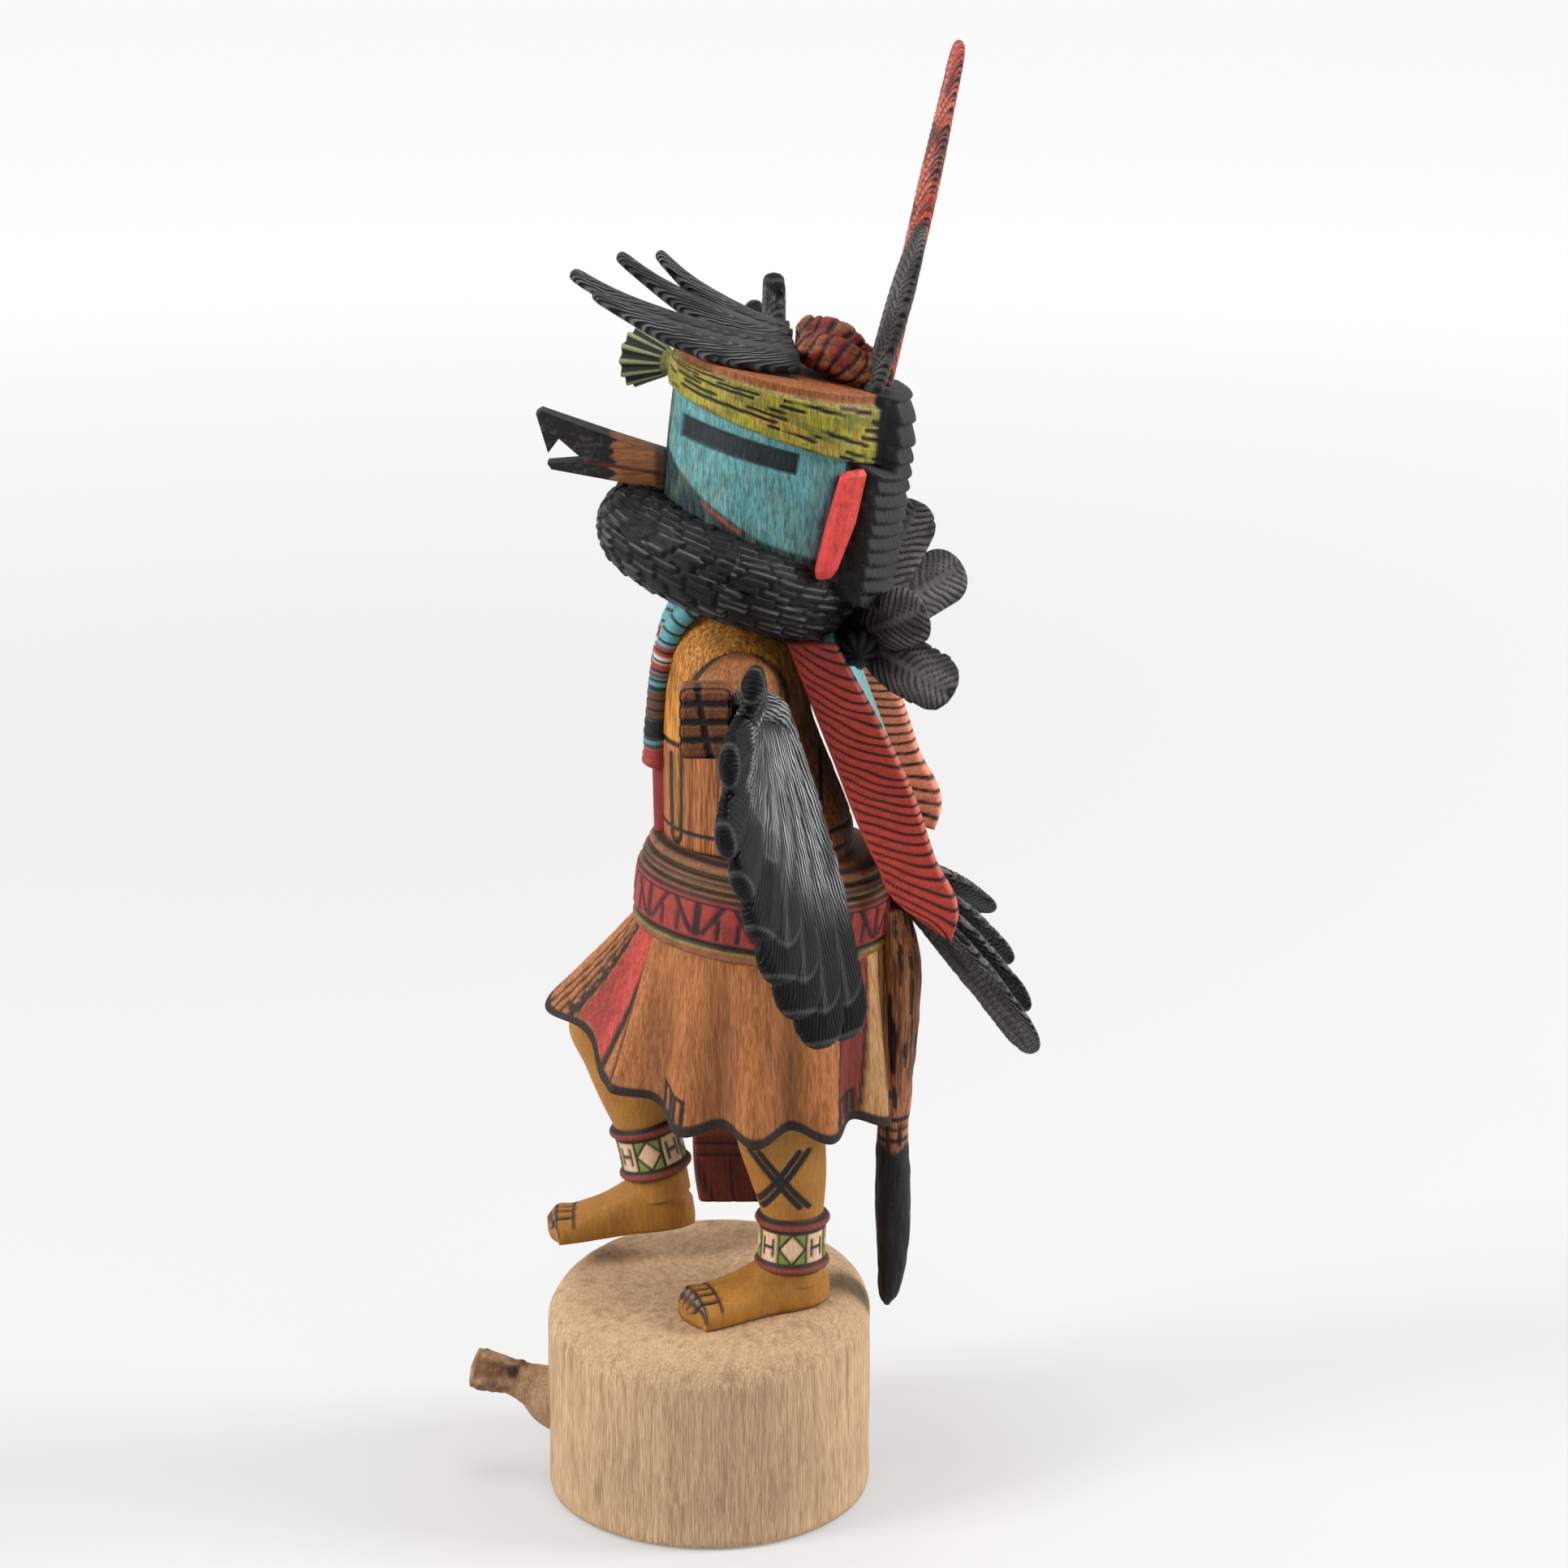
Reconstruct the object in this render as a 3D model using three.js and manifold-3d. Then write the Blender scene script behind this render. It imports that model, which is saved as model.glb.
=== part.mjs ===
// Carved dancing bird kachina doll on a cottonwood root base.
// Millimetres, +Z up. The origin is the centre of the base's underside. The figure
// faces -Y, and its left side is +X.
import * as THREE from 'three';
import { mergeVertices } from 'three/addons/utils/BufferGeometryUtils.js';
import Module from 'manifold-3d';

const wasm = await Module();
wasm.setup();

// Base: a slice of root, sawn a little out of square, with the stub of a side branch
const BASE_RADIUS = 34.5;
const BASE_HEIGHT = 45.5;
const BASE_EDGE = 8;
const BASE_SLOPE_X = -0.08;
const BASE_SLOPE_Y = 0.02;
const STUB_LENGTH = 16.4;
const STUB_RADIUS = 4.2;
const STUB_HEIGHT = 21.5;

// Clearance that two pieces resting on each other keep
const GAP = 0.3;

// Legs and feet
const LEFT_ANKLE = { x: 9.5, y: 17.4 };
const ANKLE_RADIUS = 6.4;
const CALF_RADIUS = 9.1;
const ANKLET_HEIGHT = 11.6;
const ANKLET_THICKNESS = 0.9;
const ANKLET_ROLL = 0.6;
const FOOT_LENGTH = 32;
const FOOT_WIDTH = 13.4;
const LEFT_FOOT_TURN = 21;
const RIGHT_ANKLE = { x: -12, y: -11.4, z: 66 };
const RIGHT_SHIN_LEAN = 13;
const RIGHT_FOOT_PITCH = 7;

// Kilt and belt
const WAIST = { x: 0, y: 11.5, z: 132 };
const BELT_TILT = 6;
const BELT_RADIUS = 26.4;
const BELT_HEIGHT = 10;
const WAIST_RADIUS = 24;
const HEM_RADIUS = 27.5;
const HEM_HEIGHT = 88;
const HEM_REACH = 17;
const HEM_LIFT = 20;
const FLUTES = 12;
const FLUTE_DEPTH = 1.3;

// Torso
const SHOULDER_HEIGHT = 193;
const CHEST_HALF_WIDTH = 18.5;

// Mask, headband, hair and ruff share one axis that leans back
const HEAD_PITCH = 20;
const CROWN_PITCH = 12;
const MASK_FOOT = { x: 0, y: 11.2, z: 203 };
const MASK_CROWN = { x: 0, y: 16, z: 241 };
const MASK_FOOT_RADIUS = 20.4;
const MASK_CROWN_RADIUS = 20.8;
const HAIR_THICKNESS = 6;
const HAIR_TIERS = 6;
const HAIR_START = 46;
const BAND_END = 60;
const BAND_THICKNESS = 1.3;
const BAND_HEIGHT = 10.6;
const BAND_CENTRE = 32.4;
const RUFF_RADIUS = 19.4;
const RUFF_TUBE = 8;
const RUFF_TALL = 8.6;
const RUFF_CENTRE = { x: 0, y: 4.4, z: 202.4 };

// Arms and wings: the left arm is nearly level, the right one is raised
const ARM_ROOT_RADIUS = 8;
const WRIST_RADIUS = 4.6;
const FIST = { length: 12, width: 9.8, height: 13.4 };
const LEFT_SHOULDER = { x: 13, y: 7.4, z: 178 };
const LEFT_ELBOW = { x: 34, y: 5.2, z: 181 };
const LEFT_WRIST = { x: 55.6, y: 3.1, z: 184 };
const RIGHT_SHOULDER = { x: -13, y: 8.4, z: 179 };
const RIGHT_ELBOW = { x: -33, y: 7.4, z: 184 };
const RIGHT_WRIST = { x: -48, y: 6.8, z: 214 };
const LEFT_WING_RISE = 8;
const RIGHT_WING_RISE = 58;
const WING_FEATHER_WIDTH = 13;
const WING_THICKNESS = 4.6;

// Feathers of the crown and the tall pair behind it, each by its tip
const CROWN_TIPS = [[12, -21.4, 257.6], [6, -26, 260.6], [-4, -17.2, 262.6], [-11, -9.6, 262]];
const CROWN_FEATHER_WIDTH = 9.6;
const TALL_RED_TIP = { x: 2.5, y: 49.8, z: 305 };
const TALL_BLACK_TIP = { x: 6, y: 42.6, z: 270.4 };

// Back tablet: a painted board that stands off the back, low on the left, with red
// fringes down its sides
const TABLET = { width: 32, height: 52, thick: 2.6, lean: 20.3, top: 187, back: 25 };
const TABLET_ROLL = 0.25;
const FRINGE_THICKNESS = 3;
const RIGHT_FRINGE_SHIFT = { y: -2.2, z: 4.1 };

// Nape and tail fans
const NAPE_ROOT = { x: 0, y: 29, z: TABLET.top - 0.5 };
const NAPE_TIPS = [[-18, 43.2, 209.8], [-20, 52.4, 196], [20, 43.4, 196.4], [22, 49.2, 179.6]];
const TAIL_TIPS = [[14, 67, 101.6], [4, 65.6, 107], [-8, 62.2, 113.4], [-20, 58, 121]];

const TURN = Math.PI / 180;
const vec = (x, y, z) => new THREE.Vector3(x, y, z);
const point = ({ x, y, z }) => new THREE.Vector3(x, y, z);
const mix = (a, b, t) => a + (b - a) * t;
const smooth = (edge0, edge1, v) => THREE.MathUtils.smoothstep(v, edge0, edge1);
const bell = (v, width) => Math.exp(-((v / width) ** 2));
const steps = (count) => Array.from({ length: count + 1 }, (_, i) => i / count);

// Runs straight lines through [position, value] pairs
function along(pairs, v) {
  const next = pairs.findIndex(([at]) => at >= v);
  if (next === -1) return pairs[pairs.length - 1][1];
  if (next === 0) return pairs[0][1];
  const [a, from] = pairs[next - 1];
  const [b, to] = pairs[next];
  return mix(from, to, (v - a) / (b - a));
}

// Joining and cutting closed meshes

function solid(source) {
  const bare = source.clone();
  bare.deleteAttribute('normal');
  bare.deleteAttribute('uv');
  const geometry = mergeVertices(bare, 1e-3);
  const { array } = geometry.attributes.position;
  const corner = (i) => vec(array[3 * i], array[3 * i + 1], array[3 * i + 2]);
  const faces = [];
  let volume = 0;
  const { array: index } = geometry.index;
  for (let i = 0; i < index.length; i += 3) {
    const [a, b, c] = [index[i], index[i + 1], index[i + 2]];
    if (a === b || b === c || c === a) continue;
    faces.push(a, b, c);
    volume += corner(a).dot(corner(b).cross(corner(c)));
  }
  if (volume < 0) faces.reverse();
  const mesh = new wasm.Mesh({
    numProp: 3,
    vertProperties: new Float32Array(array),
    triVerts: new Uint32Array(faces),
  });
  return new wasm.Manifold(mesh);
}

const join = (...parts) => parts.flat().reduce((sum, part) => sum.add(part));

function meshOf(name, shape, color, roughness = 0.8) {
  const { vertProperties, triVerts } = shape.getMesh();
  const geometry = new THREE.BufferGeometry();
  geometry.setAttribute('position', new THREE.BufferAttribute(new Float32Array(vertProperties), 3));
  geometry.setIndex(new THREE.BufferAttribute(new Uint32Array(triVerts), 1));
  geometry.computeVertexNormals();
  const material = new THREE.MeshStandardMaterial({ color, roughness, metalness: 0 });
  const mesh = new THREE.Mesh(geometry, material);
  mesh.name = name;
  return mesh;
}

// A closed body swept through levels: centre(t) is the middle of a ring, and
// rim(angle, t) reaches from there to the ring at that angle
function sweep(sides, levels, centre, rim) {
  const last = levels.length - 1;
  const geometry = new THREE.CylinderGeometry(1, 1, last, sides, last);
  const { position } = geometry.attributes;
  for (let i = 0; i < position.count; i += 1) {
    const t = levels[Math.round(position.getY(i) + last / 2)];
    const [across, up] = [position.getX(i), position.getZ(i)];
    const reach = Math.round(Math.hypot(across, up));
    const place = centre(t).addScaledVector(rim(Math.atan2(across, up), t), reach);
    position.setXYZ(i, place.x, place.y, place.z);
  }
  return solid(geometry);
}

// A limb through stations of [x, y, z, radius], with rings square to its run
function limb(sides, stations) {
  const places = stations.map(([x, y, z]) => vec(x, y, z));
  const levels = stations.map((_, i) => i);
  const run = (i) => {
    const ahead = places[Math.min(i + 1, places.length - 1)];
    const behind = places[Math.max(i - 1, 0)];
    return ahead.clone().sub(behind).normalize();
  };
  const side = vec(0.31, -0.17, 0.12);
  const rim = (angle, i) => {
    const forward = run(i);
    const across = side.clone().cross(forward).normalize();
    const up = forward.clone().cross(across);
    const radius = stations[i][3];
    return across.multiplyScalar(radius * Math.cos(angle))
      .addScaledVector(up, radius * Math.sin(angle));
  };
  return sweep(sides, levels, (i) => places[i].clone(), rim);
}

// One carved feather from root to tip, bowed by the vector bow at its middle, with its
// blade across the vector side
function feather({ root, tip, bow, side, width, thick, base = 0.5, taper = 1 }) {
  const middle = root.clone().add(tip).multiplyScalar(0.5).add(bow);
  const curve = new THREE.QuadraticBezierCurve3(root, middle, tip);
  const round = Math.min(0.2, (0.55 * width * taper) / root.distanceTo(tip));
  const levels = [0, 0.3, 0.58, 0.8, 1 - 0.3 * round, 1];
  const half = (t) => {
    const spread = mix(base, 1, smooth(0, 0.55, t)) * mix(1, taper, smooth(0.35, 0.9, t));
    const end = Math.sqrt(1 - (Math.max(0, t - 1 + round) / (1.03 * round)) ** 2);
    return (width / 2) * spread * end;
  };
  const rim = (angle, t) => {
    const forward = curve.getTangent(Math.min(Math.max(t, 0.001), 0.999));
    const across = side.clone().addScaledVector(forward, -side.dot(forward)).normalize();
    const face = forward.clone().cross(across);
    const depth = (thick / 2) * mix(1, 0.6, smooth(0.6, 1, t));
    return across.multiplyScalar(half(t) * Math.cos(angle))
      .addScaledVector(face, depth * Math.sin(angle));
  };
  return sweep(4, levels, (t) => curve.getPoint(t), rim);
}

// Base

const baseTop = (x, y) => BASE_HEIGHT + BASE_SLOPE_X * x + BASE_SLOPE_Y * y;

function rootBase() {
  const profile = [new THREE.Vector2(0, 0), new THREE.Vector2(BASE_RADIUS - 1.2, 0),
    new THREE.Vector2(BASE_RADIUS - 0.2, 1.2)];
  for (const lift of [0.5]) profile.push(new THREE.Vector2(BASE_RADIUS, lift * BASE_HEIGHT));
  for (const turn of steps(4)) {
    const angle = (turn * Math.PI) / 2;
    profile.push(new THREE.Vector2(
      BASE_RADIUS - BASE_EDGE * (1 - Math.cos(angle)),
      BASE_HEIGHT - BASE_EDGE * (1 - Math.sin(angle)),
    ));
  }
  profile.push(new THREE.Vector2(BASE_RADIUS / 3, BASE_HEIGHT), new THREE.Vector2(0, BASE_HEIGHT));
  const lathe = new THREE.LatheGeometry(profile, 32);
  lathe.rotateX(Math.PI / 2);
  const { position } = lathe.attributes;
  for (let i = 0; i < position.count; i += 1) {
    const [x, y, z] = [position.getX(i), position.getY(i), position.getZ(i)];
    const angle = Math.atan2(y, x);
    const round = 1 + 0.012 * Math.cos(2 * angle + 0.6) + 0.007 * Math.cos(3 * angle - 1);
    const rise = smooth(0.4 * BASE_HEIGHT, BASE_HEIGHT - BASE_EDGE, z);
    const tip = (baseTop(x, y) - BASE_HEIGHT) * rise;
    position.setXYZ(i, x * round, y * round, z + tip);
  }
  const start = vec(0, -BASE_RADIUS + 6, STUB_HEIGHT - 3.5);
  const end = vec(0, -BASE_RADIUS - STUB_LENGTH, STUB_HEIGHT + 2.6);
  const reach = end.clone().sub(start);
  const stations = [[0, 8.4], [0.26, 6.6], [0.42, 4.6], [0.6, 3.7], [0.78, 4.1], [0.93, 3.9], [1, 2.4]]
    .map(([t, radius]) => {
      const at = start.clone().addScaledVector(reach, t);
      return [at.x, at.y, at.z + 1.8 * smooth(0.2, 0.6, t), radius * (STUB_RADIUS / 4.2)];
    });
  return join(solid(lathe), limb(10, stations));
}

// Legs: the anklets are carved with them, a broad band between two rolls

function ankletRadius(s) {
  const roll = ANKLET_ROLL * (bell(s - 0.09, 0.09) + bell(s - 0.91, 0.09));
  return ANKLE_RADIUS + (s >= 0 && s <= 1 ? ANKLET_THICKNESS + roll : 0);
}

const ANKLET_STEPS = [-0.02, 0, 0.1, 0.22, 0.78, 0.9, 1, 1.02];

function leftLeg() {
  const low = baseTop(LEFT_ANKLE.x, LEFT_ANKLE.y) + 8.4;
  const stations = [[LEFT_ANKLE.x - 0.4, LEFT_ANKLE.y + 0.4, low - 3.5, ANKLE_RADIUS * 0.96]];
  for (const s of ANKLET_STEPS) {
    stations.push([LEFT_ANKLE.x, LEFT_ANKLE.y, low + s * ANKLET_HEIGHT, ankletRadius(s)]);
  }
  stations.push([9.3, 16.4, low + 19, 7.9], [9.2, 14.7, low + 27, CALF_RADIUS]);
  stations.push([9, 13.6, low + 36, 9.4], [8.6, 12.6, low + 48, 9.6]);
  return limb(9, stations);
}

function rightLeg() {
  const lean = RIGHT_SHIN_LEAN * TURN;
  const up = vec(0, -Math.sin(lean), Math.cos(lean));
  const ankle = point(RIGHT_ANKLE);
  const station = (rise, radius, forward = 0) => {
    const at = ankle.clone().addScaledVector(up, rise);
    return [at.x, at.y - forward, at.z, radius];
  };
  const stations = [station(-5.5, ANKLE_RADIUS * 0.95)];
  for (const s of ANKLET_STEPS) stations.push(station(s * ANKLET_HEIGHT, ankletRadius(s)));
  stations.push(station(18, 7.9), station(26, CALF_RADIUS, 0.4), station(36, 9.6, 1));
  stations.push([-11, -12, 112, 10]);
  return limb(9, stations);
}

// A foot with a flat sole: heel at the origin, toes towards -Y
function foot() {
  const levels = [0, 0.05, 0.14, 0.28, 0.42, 0.6, 0.8, 0.94, 1];
  const width = [[0, 0.3], [0.05, 0.55], [0.14, 0.76], [0.28, 0.82], [0.42, 0.78], [0.56, 0.86],
    [0.7, 0.98], [0.82, 1], [0.92, 0.97], [0.975, 0.88], [1, 0.72]];
  const tall = [[0, 5], [0.05, 8], [0.14, 11.5], [0.28, 12.8], [0.42, 10.6], [0.56, 8.2],
    [0.7, 6.8], [0.82, 5.9], [0.92, 5.3], [0.975, 4.6], [1, 3.2]];
  const rim = (angle, t) => {
    const half = (FOOT_WIDTH / 2) * along(width, t);
    const top = along(tall, t);
    const sine = Math.sin(angle);
    const rise = sine > 0 ? 0.6 * top * sine ** 0.8 : -0.4 * top * Math.min(1, 2.4 * -sine);
    return vec(half * Math.cos(angle), 0, rise);
  };
  const centre = (t) => vec(0, 5.4 - FOOT_LENGTH * t, 0.4 * along(tall, t));
  return sweep(10, levels, centre, rim);
}

function leftFoot() {
  const pitchX = Math.atan(BASE_SLOPE_Y) / TURN;
  const pitchY = -Math.atan(BASE_SLOPE_X) / TURN;
  const [x, y] = [8.9, 19.6];
  return foot().rotate([0, 0, LEFT_FOOT_TURN]).rotate([pitchX, pitchY, 0])
    .translate([x, y, baseTop(x, y) + GAP]);
}

function rightFoot() {
  return foot().rotate([RIGHT_FOOT_PITCH, 0, 0]).translate([-12, -8.4, 54]);
}

// Kilt: it hangs straight behind and is thrown out and up over the raised knee

const KNEE_SIDE = -102;
const away = (angle, side) => {
  const turn = angle / TURN - side;
  return turn - 360 * Math.round(turn / 360);
};

function hemRadius(angle) {
  const flute = FLUTE_DEPTH * Math.cos(FLUTES * angle + 0.6);
  return HEM_RADIUS + HEM_REACH * bell(away(angle, KNEE_SIDE), 40) + flute;
}

function hemHeight(angle) {
  const wave = 0.9 * Math.cos(FLUTES * angle + 0.6);
  return HEM_HEIGHT + HEM_LIFT * bell(away(angle, KNEE_SIDE), 42) - wave;
}

function beltHeight(angle, radius) {
  return -Math.sin(angle) * radius * Math.tan(BELT_TILT * TURN);
}

// The wrapped edge of the outer layer stands a little proud from the front to the back
function wrap(angle, t) {
  const turn = away(angle, -72);
  return 1.1 * smooth(-5, 1, turn) * smooth(150, 144, turn) * smooth(0, 0.25, t);
}

function kilt(grow = 0) {
  const levels = [0, 0.3, 0.65, 0.96, 1];
  const top = WAIST.z - BELT_HEIGHT / 2 + 1;
  const rim = (angle, t) => {
    const fall = t ** 1.1;
    const radius = mix(WAIST_RADIUS, hemRadius(angle), fall) + wrap(angle, t) + grow;
    const end = t === 1 ? radius - 1.2 : radius;
    const height = mix(top + beltHeight(angle, WAIST_RADIUS), hemHeight(angle), t);
    return vec(end * Math.cos(angle), end * Math.sin(angle), height - top);
  };
  const centre = (t) => vec(WAIST.x, WAIST.y, t === 1 ? HEM_HEIGHT + 14 : top);
  const ring = (angle, t) => {
    const r = rim(angle, t);
    return t === 1 ? r.setZ(r.z + top - HEM_HEIGHT - 14) : r;
  };
  return sweep(36, levels, centre, ring);
}

function belt(grow = 0) {
  const half = BELT_HEIGHT / 2;
  const rows = [[half + 6.4, -5], [half + 5.8, -2.2], [half + 3.6, -2.2], [half + 2.8, -0.9],
    [half + 0.8, -0.9], [half - 0.2, 0], [-half + 0.4, 0.2], [-half - 0.2, -0.5], [-half - 1.4, 0],
    [-half - 3, -0.6], [-half - 4, -5]];
  const profile = [new THREE.Vector2(0, rows[0][0])];
  for (const [height, out] of rows) profile.push(new THREE.Vector2(BELT_RADIUS + out + grow, height));
  profile.push(new THREE.Vector2(0, rows[rows.length - 1][0]));
  const lathe = new THREE.LatheGeometry(profile, 20);
  lathe.rotateX(Math.PI / 2 - BELT_TILT * TURN);
  lathe.translate(WAIST.x, WAIST.y, WAIST.z);
  return solid(lathe);
}

// Torso: deep at the waist, narrow at the chest, with rounded shoulders

function torso(grow = 0) {
  const deep = [[136, 19], [146, 19.4], [157, 17.6], [169, 15.4], [180, 14], [187, 12.2],
    [191, 9.6], [193, 7.5], [204, 7]];
  const wide = [[136, 21], [146, 20.6], [157, 19.4], [169, CHEST_HALF_WIDTH],
    [180, CHEST_HALF_WIDTH - 0.2], [187, CHEST_HALF_WIDTH - 3.4], [191, CHEST_HALF_WIDTH - 8],
    [193, 8], [204, 7]];
  const middle = [[136, 10.6], [146, 10.5], [157, 8.6], [169, 6.2], [180, 5.6], [193, 5.4],
    [204, 7]];
  const levels = [136, 146, 157, 169, 180, 187, 190, SHOULDER_HEIGHT, 204];
  const rim = (angle, z) => vec(
    (along(wide, z) + grow) * Math.cos(angle),
    (along(deep, z) + grow) * Math.sin(angle),
    0,
  );
  return sweep(20, levels, (z) => vec(0, along(middle, z), z), rim);
}

// Mask and hair: rings about an axis that leans back; the hair wraps the back in tiers

const pitched = (angle, radius, pitch) => vec(
  radius * Math.cos(angle),
  radius * Math.sin(angle),
  -radius * Math.sin(angle) * Math.tan(pitch * TURN),
);

const headPoint = (t) => point(MASK_FOOT).lerp(point(MASK_CROWN), t);
const headPitch = (t) => mix(HEAD_PITCH, CROWN_PITCH, smooth(0.8, 1, t));
const maskRadius = (t) => mix(MASK_FOOT_RADIUS, MASK_CROWN_RADIUS, smooth(0, 0.6, t));

function hairDepth(angle, t) {
  const behind = Math.abs(away(angle, 90));
  const start = 90 - (t > 0.62 ? BAND_END : HAIR_START);
  const wrapped = smooth(start, start - 8, behind);
  const tier = (t * HAIR_TIERS) % 1;
  const step = 1 - 0.28 * smooth(0, 1, tier);
  return HAIR_THICKNESS * wrapped * step * smooth(1.3, 0.85, t);
}

function head(grow = 0) {
  const levels = [0];
  for (let tier = 0; tier < HAIR_TIERS; tier += 1) {
    levels.push((tier + 0.06) / HAIR_TIERS, (tier + 0.94) / HAIR_TIERS);
  }
  levels.push(1);
  const rim = (angle, t) => {
    const edge = t === 1 ? -0.8 : 0;
    const radius = maskRadius(t) + hairDepth(angle, t) + edge + grow;
    return pitched(angle, radius, headPitch(t));
  };
  return sweep(24, levels, (t) => headPoint(t).add(vec(0, 0, t === 1 ? grow : 0)), rim);
}

// Headband: round the front and sides, with square ends ahead of the hair
function headband(grow = 0) {
  const open = (90 - BAND_END) * TURN;
  const [outer, inner] = [MASK_CROWN_RADIUS + BAND_THICKNESS + grow, MASK_CROWN_RADIUS - 3];
  const start = Math.PI / 2 + open - grow / outer;
  const end = Math.PI / 2 - open + 2 * Math.PI + grow / outer;
  const shape = new THREE.Shape();
  shape.absarc(0, 0, outer, start, end, false);
  shape.absarc(0, 0, inner, end, start, true);
  const depth = BAND_HEIGHT + 2 * grow;
  const band = new THREE.ExtrudeGeometry(shape, { depth, bevelEnabled: false, curveSegments: 20 });
  band.translate(0, 0, BAND_CENTRE - depth / 2 - 2);
  const { position } = band.attributes;
  for (let i = 0; i < position.count; i += 1) {
    const [x, y, z] = [position.getX(i), position.getY(i), position.getZ(i)];
    const axis = headPoint(z / (MASK_CROWN.z - MASK_FOOT.z));
    position.setXYZ(i, x, y + axis.y, axis.z - y * Math.tan(HEAD_PITCH * TURN));
  }
  return solid(band);
}

function ruff(grow = 0) {
  const tube = RUFF_TUBE + grow;
  const torus = new THREE.TorusGeometry(RUFF_RADIUS, tube, 8, 22);
  torus.scale(1, 1, (RUFF_TALL + grow) / tube);
  torus.rotateX(-(HEAD_PITCH + 1) * TURN);
  torus.translate(RUFF_CENTRE.x, RUFF_CENTRE.y, RUFF_CENTRE.z);
  return solid(torus);
}

// Fox skin: a flat pelt down the back, drawn in at the paws, then the dark brush
function foxSkin() {
  const stations = [[130, 37.4, 3.6, 6.2], [118, 39.4, 4.4, 6.6], [104, 39.4, 4.2, 6.4],
    [88, 38.6, 3.6, 5.6], [80, 38.4, 3.2, 4.8], [75, 38.4, 3.4, 4.6], [64, 38.6, 3.7, 5],
    [56, 38.6, 3.4, 4.8], [48, 38.3, 2.7, 4], [40.5, 37.4, 1.2, 2]];
  const at = (i, field) => stations[i][field];
  const rim = (angle, i) => vec(at(i, 3) * Math.cos(angle), at(i, 2) * Math.sin(angle), 0);
  const levels = stations.map((_, i) => i);
  return sweep(10, levels, (i) => vec(1, at(i, 1), at(i, 0)), rim);
}

// Sash: a flat strip from the belt down the right hip
function sash() {
  const stations = [[128, -25, 4.2, 7], [112, -26.8, 4, 7.6], [96, -28, 4, 8], [74, -28, 4, 8.2],
    [56, -28, 4.4, 7.8], [52.5, -28, 4.8, 7.6]];
  const rim = (angle, i) => {
    const [wide, thick] = [stations[i][3], 1.6];
    const square = (v) => Math.sign(v) * Math.abs(v) ** 0.4;
    return vec(thick * square(Math.cos(angle)), wide * square(Math.sin(angle)), 0);
  };
  return sweep(8, stations.map((_, i) => i), (i) => vec(stations[i][1], stations[i][2], stations[i][0]), rim);
}

// Necklace: two strands over the chest that meet low down
function necklace() {
  const strand = (side) => limb(8, [[side * 9, 0.5, 196, 2], [side * 7.6, -5.6, 190.5, 2.2],
    [side * 5.6, -8.6, 182, 2.2], [side * 4, -9.9, 172, 2.2], [side * 2.6, -10.4, 163, 2.3],
    [side * 1.6, -10.4, 159, 1.6]]);
  const strip = limb(8, [[0, -8.6, 161, 2.6], [0, -8.4, 150, 2.6], [0, -8.2, 140, 2.6]]);
  return [strand(1), strand(-1), strip];
}

// The space that a neighbour needs: itself and copies moved by the clearance each way
function clear(shape) {
  const copies = [shape];
  for (const shift of [-GAP, GAP]) {
    copies.push(shape.translate([shift, 0, 0]), shape.translate([0, shift, 0]), shape.translate([0, 0, shift]));
  }
  return join(copies);
}

function figure() {
  const body = join(leftLeg(), leftFoot(), rightLeg(), rightFoot(), kilt(), belt(), torso());
  const upper = join(head(), headband(), ruff(), foxSkin(), sash(), necklace());
  return body.add(upper);
}

// Beak: a board-like snout that gapes in a V and hooks over at its tip
const BEAK = { mouth: 222.3, top: 232.4, reach: 33.5, thick: 8 };

function beak() {
  const shape = new THREE.Shape();
  shape.moveTo(-6, 216.2);
  shape.lineTo(-20.5, 218.9);
  shape.lineTo(-30.6, 220.6);
  shape.lineTo(-31.4, 221.8);
  shape.lineTo(-23.8, BEAK.mouth);
  shape.lineTo(-29, 226.8);
  shape.lineTo(-31.2, 223.9);
  shape.lineTo(-BEAK.reach, BEAK.top - 0.6);
  shape.lineTo(-BEAK.reach + 1.1, BEAK.top);
  shape.lineTo(-18.2, 227.2);
  shape.lineTo(-6, 223.2);
  const plate = new THREE.ExtrudeGeometry(shape, { depth: BEAK.thick, bevelEnabled: false });
  plate.translate(0, 0, -BEAK.thick / 2);
  const { position } = plate.attributes;
  for (let i = 0; i < position.count; i += 1) {
    const [y, z, x] = [position.getX(i), position.getY(i), position.getZ(i)];
    position.setXYZ(i, x * mix(0.62, 1, smooth(-34, -12, y)), y, z);
  }
  return solid(plate).subtract(head(GAP)).subtract(headband(GAP)).subtract(ruff(GAP));
}

// Ear: a faceted slab set on end behind the cheek
const EAR_TURN = 38;

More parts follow.
